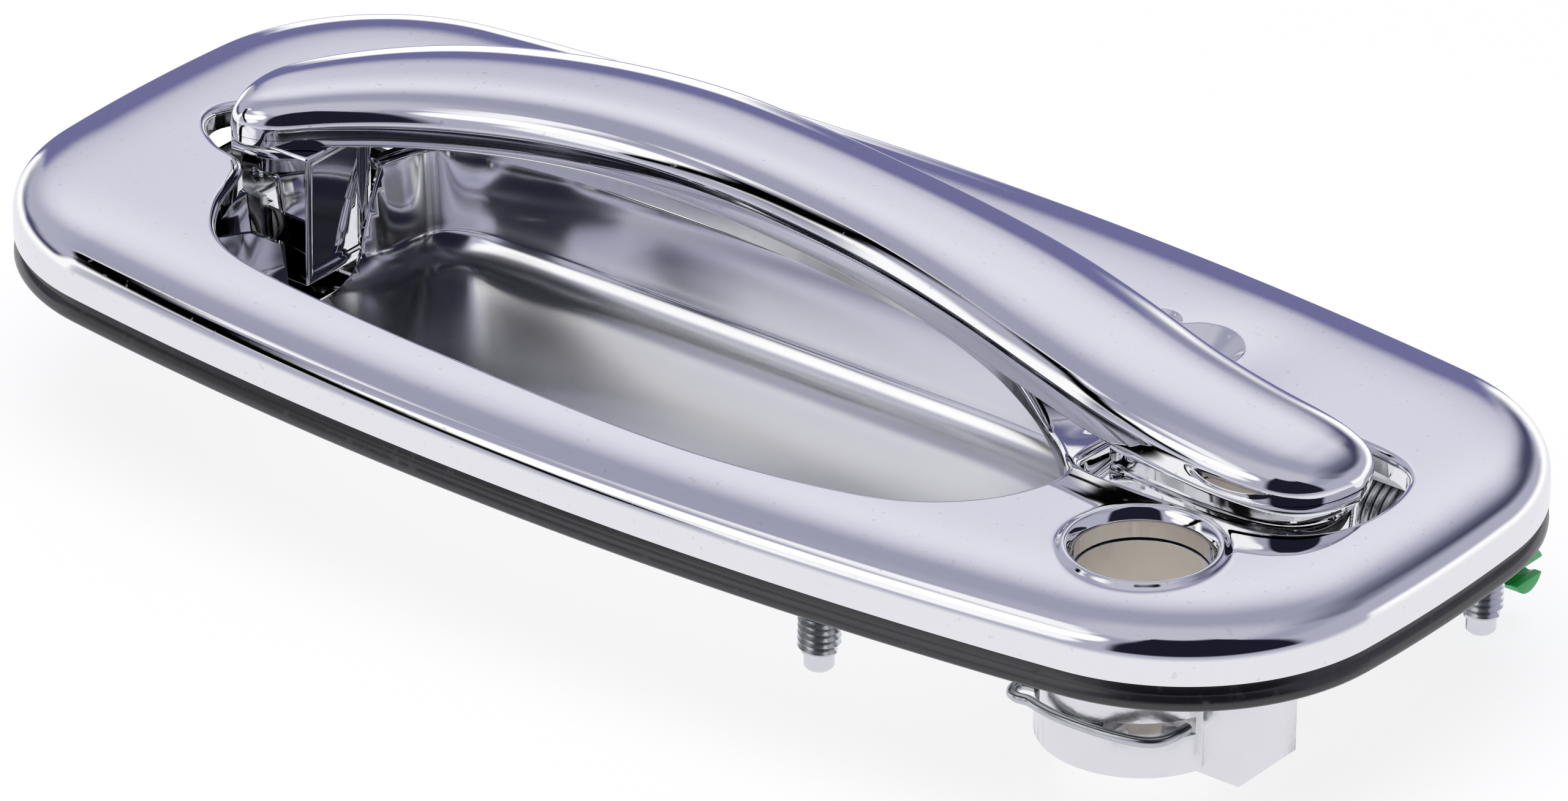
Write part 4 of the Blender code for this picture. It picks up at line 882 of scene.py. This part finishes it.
def build_cup():
    mouth = outline(CUP_MOUTH, 1.2)
    rim_soft = CUP_RIM_SOFT
    steps = [(CUP_FLANGE, CUP_HIGH[2]), (rim_soft, CUP_HIGH[2])]
    steps += [(rim_soft * (1 - math.sin(t)), CUP_HIGH[2] - rim_soft * (1 - math.cos(t)))
              for t in np.linspace(0.4, math.pi / 2, 4)]
    wall = np.linspace(0, 1, 7)[1:]
    drop = CUP_HIGH[2] - rim_soft - CUP_FLOOR - CUP_FILLET
    steps += [(-CUP_DRAFT * s, CUP_HIGH[2] - rim_soft - drop * s) for s in wall]
    steps += [(-CUP_DRAFT - CUP_FILLET * (1 - math.cos(t)),
               CUP_FLOOR + CUP_FILLET * (1 - math.sin(t)))
              for t in np.linspace(0, math.pi / 2, 10)[1:]]
    shape = bmesh.new()
    rows = []
    for shift, z in steps:
        ring = moved_out(mouth, shift)
        if shift < -2:
            ring = relax(ring, 3)
        rows.append([shape.verts.new((x, y, z)) for x, y in ring])
    for row, following in zip(rows, rows[1:]):
        for k in range(len(row)):
            j = (k + 1) % len(row)
            shape.faces.new((row[k], row[j], following[j], following[k]))
    floor_edge = np.array([v.co.xy for v in rows[-1]])
    loose = grid(floor_edge.min(0), floor_edge.max(0), 3.0)
    keep = inside(loose, floor_edge) & (nearest(loose, floor_edge)[0] > 1.5)
    points, faces = triangulate([floor_edge], loose[keep])
    faces = faces[inside(points[faces].mean(1), floor_edge)]
    verts = list(rows[-1]) + [shape.verts.new((*p, CUP_FLOOR))
                              for p in points[len(floor_edge):]]
    for face in faces:
        shape.faces.new([verts[k] for k in face])
    (low_x, high_x), (low_y, high_y) = WINDOW
    for place, way in (((high_x, 0, 0), (1, 0, 0)), ((0, low_y, 0), (0, 1, 0)),
                       ((0, high_y, 0), (0, 1, 0))):
        bmesh.ops.bisect_plane(shape, geom=[*shape.verts, *shape.edges, *shape.faces],
                               dist=1e-5, plane_co=place, plane_no=way)
    gone = [f for f in shape.faces if low_x < f.calc_center_median().x < high_x
            and low_y < f.calc_center_median().y < high_y]
    bmesh.ops.delete(shape, geom=gone, context='FACES')
    bmesh.ops.recalc_face_normals(shape, faces=shape.faces)
    if sum(f.normal.z for f in shape.faces) < 0:
        bmesh.ops.reverse_faces(shape, faces=shape.faces)
    piece = shell("cup_pan", shape, pan_chrome, None)
    thicken = piece.modifiers.new("sheet", 'SOLIDIFY')
    thicken.thickness = CUP_SKIN * MM
    thicken.offset = -1
    return piece


cup_pan = build_cup()
hand_over(cup_pan, "base", "chrome", "finger_cup")

# %% [markdown]
# ## The seal
# A moulded rubber ring keeps water off the door skin. Its upper half is set back, which
# leaves a shadow line under the chrome, and both of its corners are rounded as a mould
# would leave them. One section follows the plate's outline.

# %% The seal
def build_seal():
    section = ((0.7, 0.0), (0.25, 0.12), (0.05, 0.45), (0.1, 1.2), (0.35, 1.8), (0.75, 2.15),
               (1.05, 2.4), (1.1, 3.4), (1.25, 3.62), (1.5, 3.7), (3.6, 3.7), (3.9, 3.6),
               (4.0, 3.3), (4.0, 0.4), (3.9, 0.1), (3.6, 0.0))
    edge = plate_ring(0.0, 1.5)
    rings = []
    for inset, z in section:
        ring = moved_out(edge, -inset)
        rings.append(np.column_stack([ring, np.full(len(ring), z)]))
    count = len(rings[0])
    points = np.vstack(rings)
    faces = []
    for j in range(len(rings)):
        near, far = j * count, (j + 1) % len(rings) * count
        faces += [(near + k, near + (k + 1) % count, far + (k + 1) % count, far + k)
                  for k in range(count)]
    return sharpen(face_out(add_piece("rubber_seal", points, faces, rubber)), 60)


hand_over(build_seal(), "base", "black_rubber", "rim_gasket")

# %% [markdown]
# ## Sheet metal, pins and castings
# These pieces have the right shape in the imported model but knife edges. Real sheet is
# rolled over by the punch and a real casting has a radius on every corner, and it is this
# thin bright line that makes a metal piece look solid. Each is copied, its flat faces are
# joined again, and a small bevel is put on every edge.

# %% Copies with softened edges
def softened_copy(name, node, width, finish_used, degrees=32):
    """A copy of a CAD node with bevelled edges, in world coordinates."""
    source = bpy.data.objects[node]
    shape = bmesh.new()
    shape.from_mesh(source.data)
    shape.transform(Matrix.Scale(1 / MM, 4) @ source.matrix_world)
    bmesh.ops.remove_doubles(shape, verts=shape.verts, dist=0.002)
    bmesh.ops.dissolve_limit(shape, angle_limit=math.radians(1.5), verts=shape.verts,
                             edges=shape.edges)
    edges = [e for e in shape.edges if len(e.link_faces) == 2
             and e.calc_face_angle() > math.radians(degrees)]
    bmesh.ops.bevel(shape, geom=edges, offset=width, segments=2, profile=0.5,
                    affect='EDGES', clamp_overlap=True)
    bmesh.ops.triangulate(shape, faces=[f for f in shape.faces if len(f.verts) > 4])
    return shell(name, shape, finish_used, 28)


SOFT_COPIES = (("hinge_yoke", "hinge_bracket", 0.25, zinc_steel, "base", "zinc_plated_steel"),
               ("hinge_axle", "hinge_pin", 0.2, zinc_steel, "base", "zinc_plated_steel"),
               ("hinge_clip_ring", "hinge_pin_ring", 0.12, spring_steel, "base", "spring_steel"),
               ("near_bush", "hinge_bush_near", 0.15, nylon, "strap", "white_nylon"),
               ("far_bush", "hinge_bush_far", 0.15, nylon, "strap", "white_nylon"),
               ("crank_yoke", "bellcrank_bracket", 0.25, zinc_steel, "base",
                "zinc_plated_steel"),
               ("crank_axle", "bellcrank_pin", 0.2, zinc_steel, "base", "zinc_plated_steel"),
               ("crank_clip_ring", "bellcrank_pin_ring", 0.12, spring_steel, "base",
                "spring_steel"),
               ("crank_casting", "bellcrank", 0.35, cast_zinc, "crank", "plated_casting"),
               ("crank_weight", "counterweight", 0.4, dark_casting, "crank", "dark_casting"),
               ("rod_snap", "rod_clip", 0.3, green_plastic, "clip", "green_plastic"))
for name, node, width, finish_used, body, slot in SOFT_COPIES:
    hand_over(softened_copy(name, node, width, finish_used), body, slot, node)


# %% The lock housing, with a bare bore
def build_lock_barrel():
    """Plated outside; the bore is machined after casting and stays a warm bare grey."""
    piece = softened_copy("lock_barrel", "lock_housing", 0.5, cast_zinc)
    piece.data.materials.append(bore_zinc)
    bore = (LOCK_RADIUS + 0.1) * MM
    for face in piece.data.polygons:
        off = Vector(face.center.xy) - Vector(LOCK * MM)
        if off.length < bore and abs(face.normal.z) < 0.5:
            face.material_index = 1
    return piece


hand_over(build_lock_barrel(), "base", "plated_casting", "lock_housing")

# %% [markdown]
# ## Wire
# The retainer that holds the lock cylinder is one bent wire, and the return spring is the
# same stuff wound six times. A curve with a round section makes both: its bends are the
# bends of the wire.

# %% Wire pieces
CLIP_PATH = ((95.2, -32.1), (95.1, -35.0), (94.4, -37.4), (92.7, -38.9), (89.5, -39.8),
             (85.5, -40.3), (80.5, -40.4), (77.2, -40.0), (74.4, -39.3), (72.6, -39.5),
             (71.2, -38.9), (70.6, -37.6), (70.8, -36.5), (71.6, -35.9), (73.0, -35.7))
CLIP_Z, CLIP_WIRE = -8.0, 0.75
CRANK_YZ = np.array([29.0, -4.5])
COIL_RADIUS, COIL_WIRE, COIL_TURNS, COIL_LEFT, COIL_RIGHT = 5.6, 0.6, 6, 79.4, 87.4
CRANK_REST = 28.7                   # degrees below level
COIL_STEPS, ARM_REACH, ARM_LEG = 300, 12.0, 72.5
STILL_TURN, STILL_LEG = 240.0, 6.5  # the fixed end: degrees of coil, and its straight leg
STILL_GAP = 1.35                    # between the coil's end and the fixed end, along X


def bent_wire(name, path, radius, material):
    """A round wire along a path in millimetres, as a closed mesh."""
    curve = bpy.data.curves.new(name, 'CURVE')
    curve.dimensions = '3D'
    curve.bevel_depth = radius * MM
    curve.bevel_resolution = 5
    curve.use_fill_caps = True
    line = curve.splines.new('POLY')
    line.points.add(len(path) - 1)
    for point, place in zip(line.points, path):
        point.co = (*(np.array(place) * MM), 1.0)
    holder = linked(name + "_path", curve)
    mesh = bpy.data.meshes.new_from_object(holder)
    bpy.data.objects.remove(holder)
    return sharpen(face_out(dressed(name, mesh, material)), 60)


def coil_path():
    """Six turns and a rest, and a leg over the lifted arm."""
    total = COIL_TURNS * 360.0 + CRANK_REST
    turn = np.radians(90.0 + np.linspace(0, total, COIL_STEPS))
    x = np.linspace(COIL_RIGHT, COIL_LEFT, COIL_STEPS)
    y = CRANK_YZ[0] + COIL_RADIUS * np.cos(turn)
    z = CRANK_YZ[1] + COIL_RADIUS * np.sin(turn)
    tangent = turn[-1] + math.pi / 2
    corner = np.array([y[-1], z[-1]])
    corner += ARM_REACH * np.array([math.cos(tangent), math.sin(tangent)])
    leg = [(COIL_LEFT, *corner), (ARM_LEG, *corner)]
    return np.vstack([np.column_stack([x, y, z]), leg])


clip_plan = curve_through(np.array(CLIP_PATH), 6, closed=False)
retainer = bent_wire("lock_retainer", [(x, y, CLIP_Z) for x, y in clip_plan], CLIP_WIRE,
                     spring_steel)
hand_over(retainer, "base", "spring_steel", "lock_retainer_clip")
hand_over(bent_wire("return_spring", coil_path(), COIL_WIRE, spring_steel), "crank",
          "spring_steel", "bellcrank_spring")
# The spring's last turn and its other leg stay still while the coil turns with the crank.
still_turn = np.radians(90.0 + np.linspace(0, STILL_TURN, 60))
still_end = [CRANK_YZ + (STILL_LEG, COIL_RADIUS)]
still_end += [CRANK_YZ + COIL_RADIUS * np.array([math.cos(t), math.sin(t)])
              for t in still_turn]
still_path = [(COIL_RIGHT + STILL_GAP, y, z) for y, z in still_end]
hand_over(bent_wire("spring_still_end", still_path, COIL_WIRE, spring_steel), "base",
          "spring_steel")

# %% [markdown]
# ## Studs and screws
# Everything threaded follows one rule: a core, a ridge wound round it at a steady pitch,
# and a head or a point. A Geometry Nodes tree makes one and sets a copy on every place
# it is given, so all of a kind are alike and the count is only a list of points.

# %% The tree for threaded pieces
class Nodes:
    """Builds a Geometry Nodes tree with named number inputs."""

    def __init__(self, name, numbers):
        self.tree = bpy.data.node_groups.new(name, 'GeometryNodeTree')
        face = self.tree.interface
        face.new_socket("Places", in_out='INPUT', socket_type='NodeSocketGeometry')
        self.ids = {}
        for label, value in numbers.items():
            socket = face.new_socket(label, in_out='INPUT', socket_type='NodeSocketFloat')
            socket.default_value = value
            self.ids[label] = socket.identifier
        socket = face.new_socket("Finish", in_out='INPUT',
                                 socket_type='NodeSocketMaterial')
        self.ids["Finish"] = socket.identifier
        face.new_socket("Result", in_out='OUTPUT', socket_type='NodeSocketGeometry')
        self.given = self.tree.nodes.new("NodeGroupInput")
        self.result = self.tree.nodes.new("NodeGroupOutput")

    def __getitem__(self, label):
        return self.given.outputs[label]

    def node(self, kind, links, output=0, **settings):
        """Adds a node. Links maps input names to values or to other sockets."""
        node = self.tree.nodes.new(kind)
        for key, value in settings.items():
            setattr(node, key, value)
        for key, value in links.items():
            target = node.inputs[key]
            if isinstance(value, bpy.types.NodeSocket):
                self.tree.links.new(value, target)
            elif isinstance(value, list):
                for one in reversed(value):
                    self.tree.links.new(one, target)
            else:
                target.default_value = value
        return node.outputs[output]

    def maths(self, operation, first, second=0.0):
        return self.node("ShaderNodeMath", {0: first, 1: second}, operation=operation)

    def rod(self, radius, low, high):
        """A cylinder on Z between two heights."""
        tall = self.maths('SUBTRACT', high, low)
        mesh = self.node("GeometryNodeMeshCylinder",
                         {"Vertices": 40, "Radius": radius, "Depth": tall})
        middle = self.maths('MULTIPLY', self.maths('ADD', high, low), 0.5)
        lift = self.node("ShaderNodeCombineXYZ", {"Z": middle})
        return self.node("GeometryNodeTransform", {"Geometry": mesh, "Translation": lift})

    def cone(self, low_radius, high_radius, low, high):
        tall = self.maths('SUBTRACT', high, low)
        mesh = self.node("GeometryNodeMeshCone",
                         {"Vertices": 40, "Radius Top": high_radius,
                          "Radius Bottom": low_radius, "Depth": tall})
        lift = self.node("ShaderNodeCombineXYZ", {"Z": low})
        return self.node("GeometryNodeTransform", {"Geometry": mesh, "Translation": lift})

    def thread(self, radius, pitch, low, high):
        """A ridge with a triangular section, wound upwards from low."""
        tall = self.maths('SUBTRACT', high, low)
        turns = self.maths('DIVIDE', tall, pitch)
        path = self.node("GeometryNodeCurveSpiral",
                         {"Resolution": 28, "Rotations": turns, "Start Radius": radius,
                          "End Radius": radius, "Height": tall})
        path = self.node("GeometryNodeSetCurveNormal", {"Curve": path}, mode='Z_UP')
        size = self.maths('MULTIPLY', pitch, 0.52)
        ridge = self.node("GeometryNodeCurvePrimitiveCircle",
                          {"Resolution": 4, "Radius": size})
        wound = self.node("GeometryNodeCurveToMesh",
                          {"Curve": path, "Profile Curve": ridge, "Fill Caps": True})
        lift = self.node("ShaderNodeCombineXYZ", {"Z": low})
        return self.node("GeometryNodeTransform", {"Geometry": wound, "Translation": lift})

    def close(self, shapes):
        """Joins the shapes, sets one on every place and writes the result."""
        one = self.node("GeometryNodeJoinGeometry", {"Geometry": shapes})
        spots = self.node("GeometryNodeInstanceOnPoints",
                          {"Points": self["Places"], "Instance": one})
        solid = self.node("GeometryNodeRealizeInstances", {"Geometry": spots})
        done = self.node("GeometryNodeSetMaterial",
                         {"Geometry": solid, "Material": self["Finish"]})
        self.tree.links.new(done, self.result.inputs[0])
        return self


def stud_tree():
    """Threaded stud with a plain dog point; heights are from the door skin."""
    n = Nodes("threaded_stud", {"Radius": 3 * MM, "Pitch": MM, "End": -13 * MM,
                                "Dog": 2.5 * MM, "Top": 9.4 * MM})
    core = n.maths('SUBTRACT', n["Radius"], n.maths('MULTIPLY', n["Pitch"], 0.52))
    dog_top = n.maths('ADD', n["End"], n["Dog"])
    point = n.maths('MULTIPLY', n["Radius"], 0.70)
    tip = n.maths('ADD', n["End"], 0.4 * MM)
    thread_low = n.maths('ADD', dog_top, n.maths('MULTIPLY', n["Pitch"], 0.6))
    thread_high = n.maths('SUBTRACT', n["Top"], n["Pitch"])
    return n.close([n.rod(core, dog_top, n["Top"]), n.rod(point, tip, dog_top),
                    n.cone(n.maths('SUBTRACT', point, 0.35 * MM), point, n["End"], tip),
                    n.thread(core, n["Pitch"], thread_low, thread_high)])


def screw_tree():
    """Pan-head screw with a cross recess; its seat is at the place it is given."""
    n = Nodes("pan_screw", {"Radius": 1.5 * MM, "Pitch": 0.6 * MM, "Length": 4.0 * MM,
                            "Head Radius": 2.8 * MM, "Head Height": 1.4 * MM})
    core = n.maths('SUBTRACT', n["Radius"], n.maths('MULTIPLY', n["Pitch"], 0.5))
    low = n.maths('MULTIPLY', n["Head Height"], -1.0)
    rim = n.maths('MULTIPLY', n["Head Height"], -0.4)
    crown = n.maths('MULTIPLY', n["Head Radius"], 0.72)
    head = n.rod(n["Head Radius"], rim, 0.0)
    dome = n.cone(crown, n["Head Radius"], low, rim)
    slot = n.maths('MULTIPLY', n["Head Radius"], 1.15)
    deep = n.maths('MULTIPLY', n["Head Height"], 1.1)
    narrow = n.maths('MULTIPLY', n["Head Radius"], 0.26)
    lift = n.node("ShaderNodeCombineXYZ", {"Z": low})
    cuts = []
    for wide, thin in ((slot, narrow), (narrow, slot)):
        size = n.node("ShaderNodeCombineXYZ", {"X": wide, "Y": thin, "Z": deep})
        bar = n.node("GeometryNodeMeshCube", {"Size": size})
        cuts.append(n.node("GeometryNodeTransform", {"Geometry": bar, "Translation": lift}))
    recess = n.node("GeometryNodeMeshBoolean", {"Mesh 1": dome, "Mesh 2": cuts},
                    operation='DIFFERENCE', solver='EXACT')
    shank_top = n.maths('SUBTRACT', n["Length"], n["Pitch"])
    return n.close([head, recess, n.rod(core, 0.0, n["Length"]),
                    n.thread(core, n["Pitch"], n["Pitch"], shank_top)])


def set_on(name, builder, places, values, material):
    """One mesh with a copy of the builder's piece on every place, in millimetres."""
    mesh = bpy.data.meshes.new(name + "_places")
    mesh.from_pydata([tuple(np.array(p) * MM) for p in places], [], [])
    holder = linked(name + "_places", mesh)
    grow = holder.modifiers.new("grow", 'NODES')
    grow.node_group = builder.tree
    for label, value in values.items():
        grow[builder.ids[label]] = value
    grow[builder.ids["Finish"]] = material
    bpy.context.view_layer.update()
    ready = holder.evaluated_get(bpy.context.evaluated_depsgraph_get())
    result = bpy.data.meshes.new_from_object(ready)
    bpy.data.objects.remove(holder)
    return sharpen(dressed(name, result, material), 30)


# %% The threaded pieces in their places
STUDS = ((41.4, -42.0, 0.0), (105.0, 22.0, 0.0), (-102.0, 24.0, 0.0))
CUP_SEAT, BRACKET_SEAT = 6.9, 2.6
CUP_SCREWS = ((-67.5, -40.6, CUP_SEAT), (55.5, -37.4, CUP_SEAT), (-30.0, 24.6, CUP_SEAT),
              (35.0, 24.0, CUP_SEAT))
BRACKET_SCREWS = ((-92.0, -19.8, BRACKET_SEAT), (-92.0, 14.6, BRACKET_SEAT),
                  (72.0, 32.4, BRACKET_SEAT), (91.4, 32.4, BRACKET_SEAT))
GRIP_SCREWS = tuple((x, y, float(grip_base(x)) + 1.0) for x, y in ((-55.0, 16.5),
                                                                (20.0, 15.5)))
studs, screws = stud_tree(), screw_tree()
hand_over(set_on("door_studs", studs, STUDS, {"End": -13.0 * MM}, zinc_steel), "base",
          "zinc_plated_steel", "mounting_stud_1", "mounting_stud_2", "mounting_stud_3")
hand_over(set_on("base_screws", screws, CUP_SCREWS + BRACKET_SCREWS, {"Length": 3.4 * MM},
                 zinc_steel), "base", "zinc_plated_steel", "cup_screw_1", "cup_screw_2",
          "cup_screw_3", "cup_screw_4", "hinge_bracket_screw_1", "hinge_bracket_screw_2",
          "bellcrank_bracket_screw_1", "bellcrank_bracket_screw_2")
hand_over(set_on("strap_screws", screws, GRIP_SCREWS, {"Length": 3.2 * MM}, zinc_steel),
          "strap", "zinc_plated_steel", "grip_screw_1", "grip_screw_2")

# %% [markdown]
# ## The well round the hinge
# A small plated tray closes the back of the cup where the hinge leg comes through. From
# the front it is only a deep gap, but without it daylight would shine up from below.

# %% The well
WELL_PLAN = ((-101.5, -16.2), (-84.8, -16.2), (-84.8, -14.2), (-72.9, -14.2), (-72.9, 9.0),
             (-74.4, 9.0), (-74.4, 18.2), (-101.5, 18.2))
WELL_FLOOR, WELL_TOP, WELL_WALL = -9.4, 2.2, 0.9
WELL_OPEN = -74.0                   # right of this the wall stops at the cup's floor


def build_well():
    outer = np.array(WELL_PLAN)
    fine = np.vstack([np.linspace(a, b, 6)[:-1] for a, b in zip(outer, np.roll(outer, -1, 0))])
    inner = moved_out(fine, -WELL_WALL)
    levels = ((fine, WELL_TOP), (fine, WELL_FLOOR), (inner, WELL_FLOOR + WELL_WALL),
              (inner, WELL_TOP))
    shape = bmesh.new()
    rows = [[shape.verts.new((x, y, min(z, CUP_FLOOR - 0.2) if x > WELL_OPEN else z))
             for x, y in ring] for ring, z in levels]
    for row, following in ((rows[0], rows[1]), (rows[2], rows[3]), (rows[3], rows[0])):
        for k in range(len(row)):
            j = (k + 1) % len(row)
            shape.faces.new((row[k], row[j], following[j], following[k]))
    for row in (rows[1], rows[2]):
        shape.faces.new(row)
    bmesh.ops.recalc_face_normals(shape, faces=shape.faces)
    bmesh.ops.triangulate(shape, faces=shape.faces)
    return shell("hinge_well", shape, chrome, 30)


hand_over(build_well(), "base", "chrome")

# %% [markdown]
# ## Camera, floor and light
# The studio is drawn on the sphere round the handle, because mirror chrome shows little
# else: a bright wall at the back that darkens to both sides, a softbox with a black frame
# on the left, a violet card low in the middle, and a dark side behind the camera. It is
# set for this one viewing angle, and from behind the flat faces reflect the dark side.

# %% Camera
CAMERA_PLACE = Vector((0.9315, -1.2200, 0.8044))
AZIMUTH, ELEVATION, ROLL = 37.274, 27.760, 0.684
LENS = 288.54


def aim_camera():
    data = bpy.data.cameras.new("camera")
    data.lens = LENS
    data.sensor_width = 36.0
    data.clip_start = 0.05
    camera = linked("camera", data)
    azimuth, elevation, roll = map(math.radians, (AZIMUTH, ELEVATION, ROLL))
    camera.matrix_world = (Matrix.Translation(CAMERA_PLACE)
                           @ Matrix.Rotation(azimuth, 4, 'Z')
                           @ Matrix.Rotation(math.pi / 2 - elevation, 4, 'X')
                           @ Matrix.Rotation(roll, 4, 'Z'))
    bpy.context.scene.camera = camera


aim_camera()

# %% Floor and studio
FLOOR = cad_box[0].z
FLOOR_SIDE, FLOOR_GLOW = 6.0, 0.86  # metres; the paper's own light


def lay_floor():
    mesh = bpy.data.meshes.new("floor")
    side = FLOOR_SIDE
    mesh.from_pydata([(-side, -side, FLOOR), (side, -side, FLOOR), (side, side, FLOOR),
                      (-side, side, FLOOR)], [], [(0, 1, 2, 3)])
    material, _, shader = finish("floor_paper", (0.16, 0.16, 0.16), 0.9)
    shader.inputs["Emission Color"].default_value = (0.96, 0.96, 0.965, 1.0)
    shader.inputs["Emission Strength"].default_value = FLOOR_GLOW
    mesh.materials.append(material)
    floor = linked("floor", mesh)
    floor.visible_glossy = False


def soft_light(name, place, size, power):
    data = bpy.data.lights.new(name, 'AREA')
    data.shape = 'DISK'
    data.size = size
    data.energy = power
    lamp = linked(name, data)
    lamp.location = place
    lamp.rotation_euler = (-Vector(place)).to_track_quat('-Z', 'Y').to_euler()
    lamp.visible_glossy = False


def stroke(tree, azimuth, elevation, start, end, width, soft):
    """1 near the line between two directions in degrees, fading over soft degrees."""
    (a0, e0), (a1, e1) = start, end
    span_a, span_e = a1 - a0, e1 - e0
    size = max(span_a ** 2 + span_e ** 2, 1e-6)
    off_a, off_e = azimuth - a0, elevation - e0
    along = add(tree, "ShaderNodeClamp", None,
                {"Value": (off_a * span_a + off_e * span_e) * (1.0 / size)})
    gap_a, gap_e = off_a - along * span_a, off_e - along * span_e
    gap = (gap_a * gap_a + gap_e * gap_e) ** 0.5
    return 1 - gap.step(width - soft, width + soft)


CHROME_RETURN = 0.86                # the share of light that the chrome gives back


def drawn(tree, azimuth, elevation, sky, strokes):
    """The sky with strokes laid over it in their order."""
    for *line, colour in strokes:
        sky = mix(tree, stroke(tree, azimuth, elevation, *line), sky, colour)
    return sky


def tone(light, cool):
    """A neutral to violet tone from its lightness and coolness, as linear colour."""
    display = np.array([light, light, light + cool])
    return tuple(display ** 2.2 / CHROME_RETURN)


# Each stroke: where from, where to, half width, softness and tone, in degrees.
WALL_STROKES = (
    # bright centre of the back wall
    ((-12, 33), (10, 33), 9, 9, tone(0.86, 0.045)),
    # the wall darkens towards its left and right edges
    ((38, 44), (66, 50), 9, 8, tone(0.44, 0.08)),
    ((-88, 16), (-48, 15), 7, 6, tone(0.27, 0.09)),
    ((-48, 15), (-18, 6), 5, 5, tone(0.30, 0.14)),
    ((14, 10), (24, 24), 3.5, 3.5, tone(0.28, 0.12)),
    ((24, 24), (46, 40), 6, 6, tone(0.28, 0.09)),
)
SOFTBOX_STROKES = (
    # softbox on the left, and the paper below the wall
    ((-126, 44), (-104, 28), 14, 3, tone(1.0, 0.0)),
    ((-126, 20), (-120, 12), 8, 4, tone(0.97, 0.01)),
    ((-112, 58), (-84, 60), 7, 5, tone(0.95, 0.01)),
    ((-86, 28), (-84, 0), 6, 4, tone(0.98, 0.0)),
    ((-66, 50), (-58, 48), 3, 3, tone(0.97, 0.0)),
    # its black frame
    ((-60, 46), (-78, 40), 2.6, 1.6, tone(0.02, 0.0)),
    ((-78, 40), (-98, 22), 4.2, 1.8, tone(0.02, 0.0)),
    ((-98, 22), (-112, 6), 3.2, 1.8, tone(0.02, 0.0)),
)


def build_studio():
    """The studio as the world's light, drawn as strokes on the sphere round the handle."""
    world = bpy.data.worlds.new("studio")
    world.use_nodes = True
    bpy.context.scene.world = world
    tree = world.node_tree
    way = add(tree, "ShaderNodeTexCoord", output=0)
    parts = tree.nodes.new("ShaderNodeSeparateXYZ")
    tree.links.new(way.socket, parts.inputs[0])
    x, y, z = (Wire(tree, parts.outputs[k]) for k in range(3))
    turn = math.radians(AZIMUTH)
    back = x * -math.sin(turn) + y * math.cos(turn)
    side = x * math.cos(turn) + y * math.sin(turn)
    azimuth = side.maths("ARCTAN2", side, back) * (180 / math.pi)
    elevation = z.maths("ARCSINE", z) * (180 / math.pi)
    upper, side_grey, paper = tone(0.72, 0.05), tone(0.60, 0.08), tone(0.89, 0.02)
    violet, white, dark = tone(0.42, 0.16), tone(1.0, 0.0), tone(0.13, 0.05)
    sky = mix(tree, elevation.step(36.0, 52.0), tone(0.66, 0.07), side_grey)
    sky = mix(tree, elevation.step(58.0, 74.0), sky, upper)
    sky = drawn(tree, azimuth, elevation, sky, WALL_STROKES)
    behind = 1 - azimuth.band(-148.0, 125.0, 4.0)
    sky = mix(tree, behind * elevation.band(6.0, 80.0, 3.0), sky, dark)
    near_back = azimuth.band(-90.0, 88.0, 3.0)
    sky = mix(tree, (1 - elevation.step(2.0, 16.0)) * near_back, sky, white)
    sky = mix(tree, 1 - elevation.step(-16.0, 3.0), sky, paper)
    card = azimuth.band(-16.5, 11.5, 1.2) * elevation.band(-18.0, 19.0, 3.0)
    sky = mix(tree, card, sky, violet)
    gleam = azimuth.band(-6.0, 4.5, 1.0) * elevation.band(-12.0, 8.0, 1.5)
    sky = mix(tree, gleam, sky, white)
    sky = drawn(tree, azimuth, elevation, sky, SOFTBOX_STROKES)
    shade = tree.nodes["Background"]
    tree.links.new(sky.socket, shade.inputs["Color"])
    shade.inputs["Strength"].default_value = 1.0


lay_floor()
build_studio()
soft_light("overhead", (0.2, -0.3, 1.6), 1.6, 22.0)
bpy.context.scene.view_settings.view_transform = 'Standard'
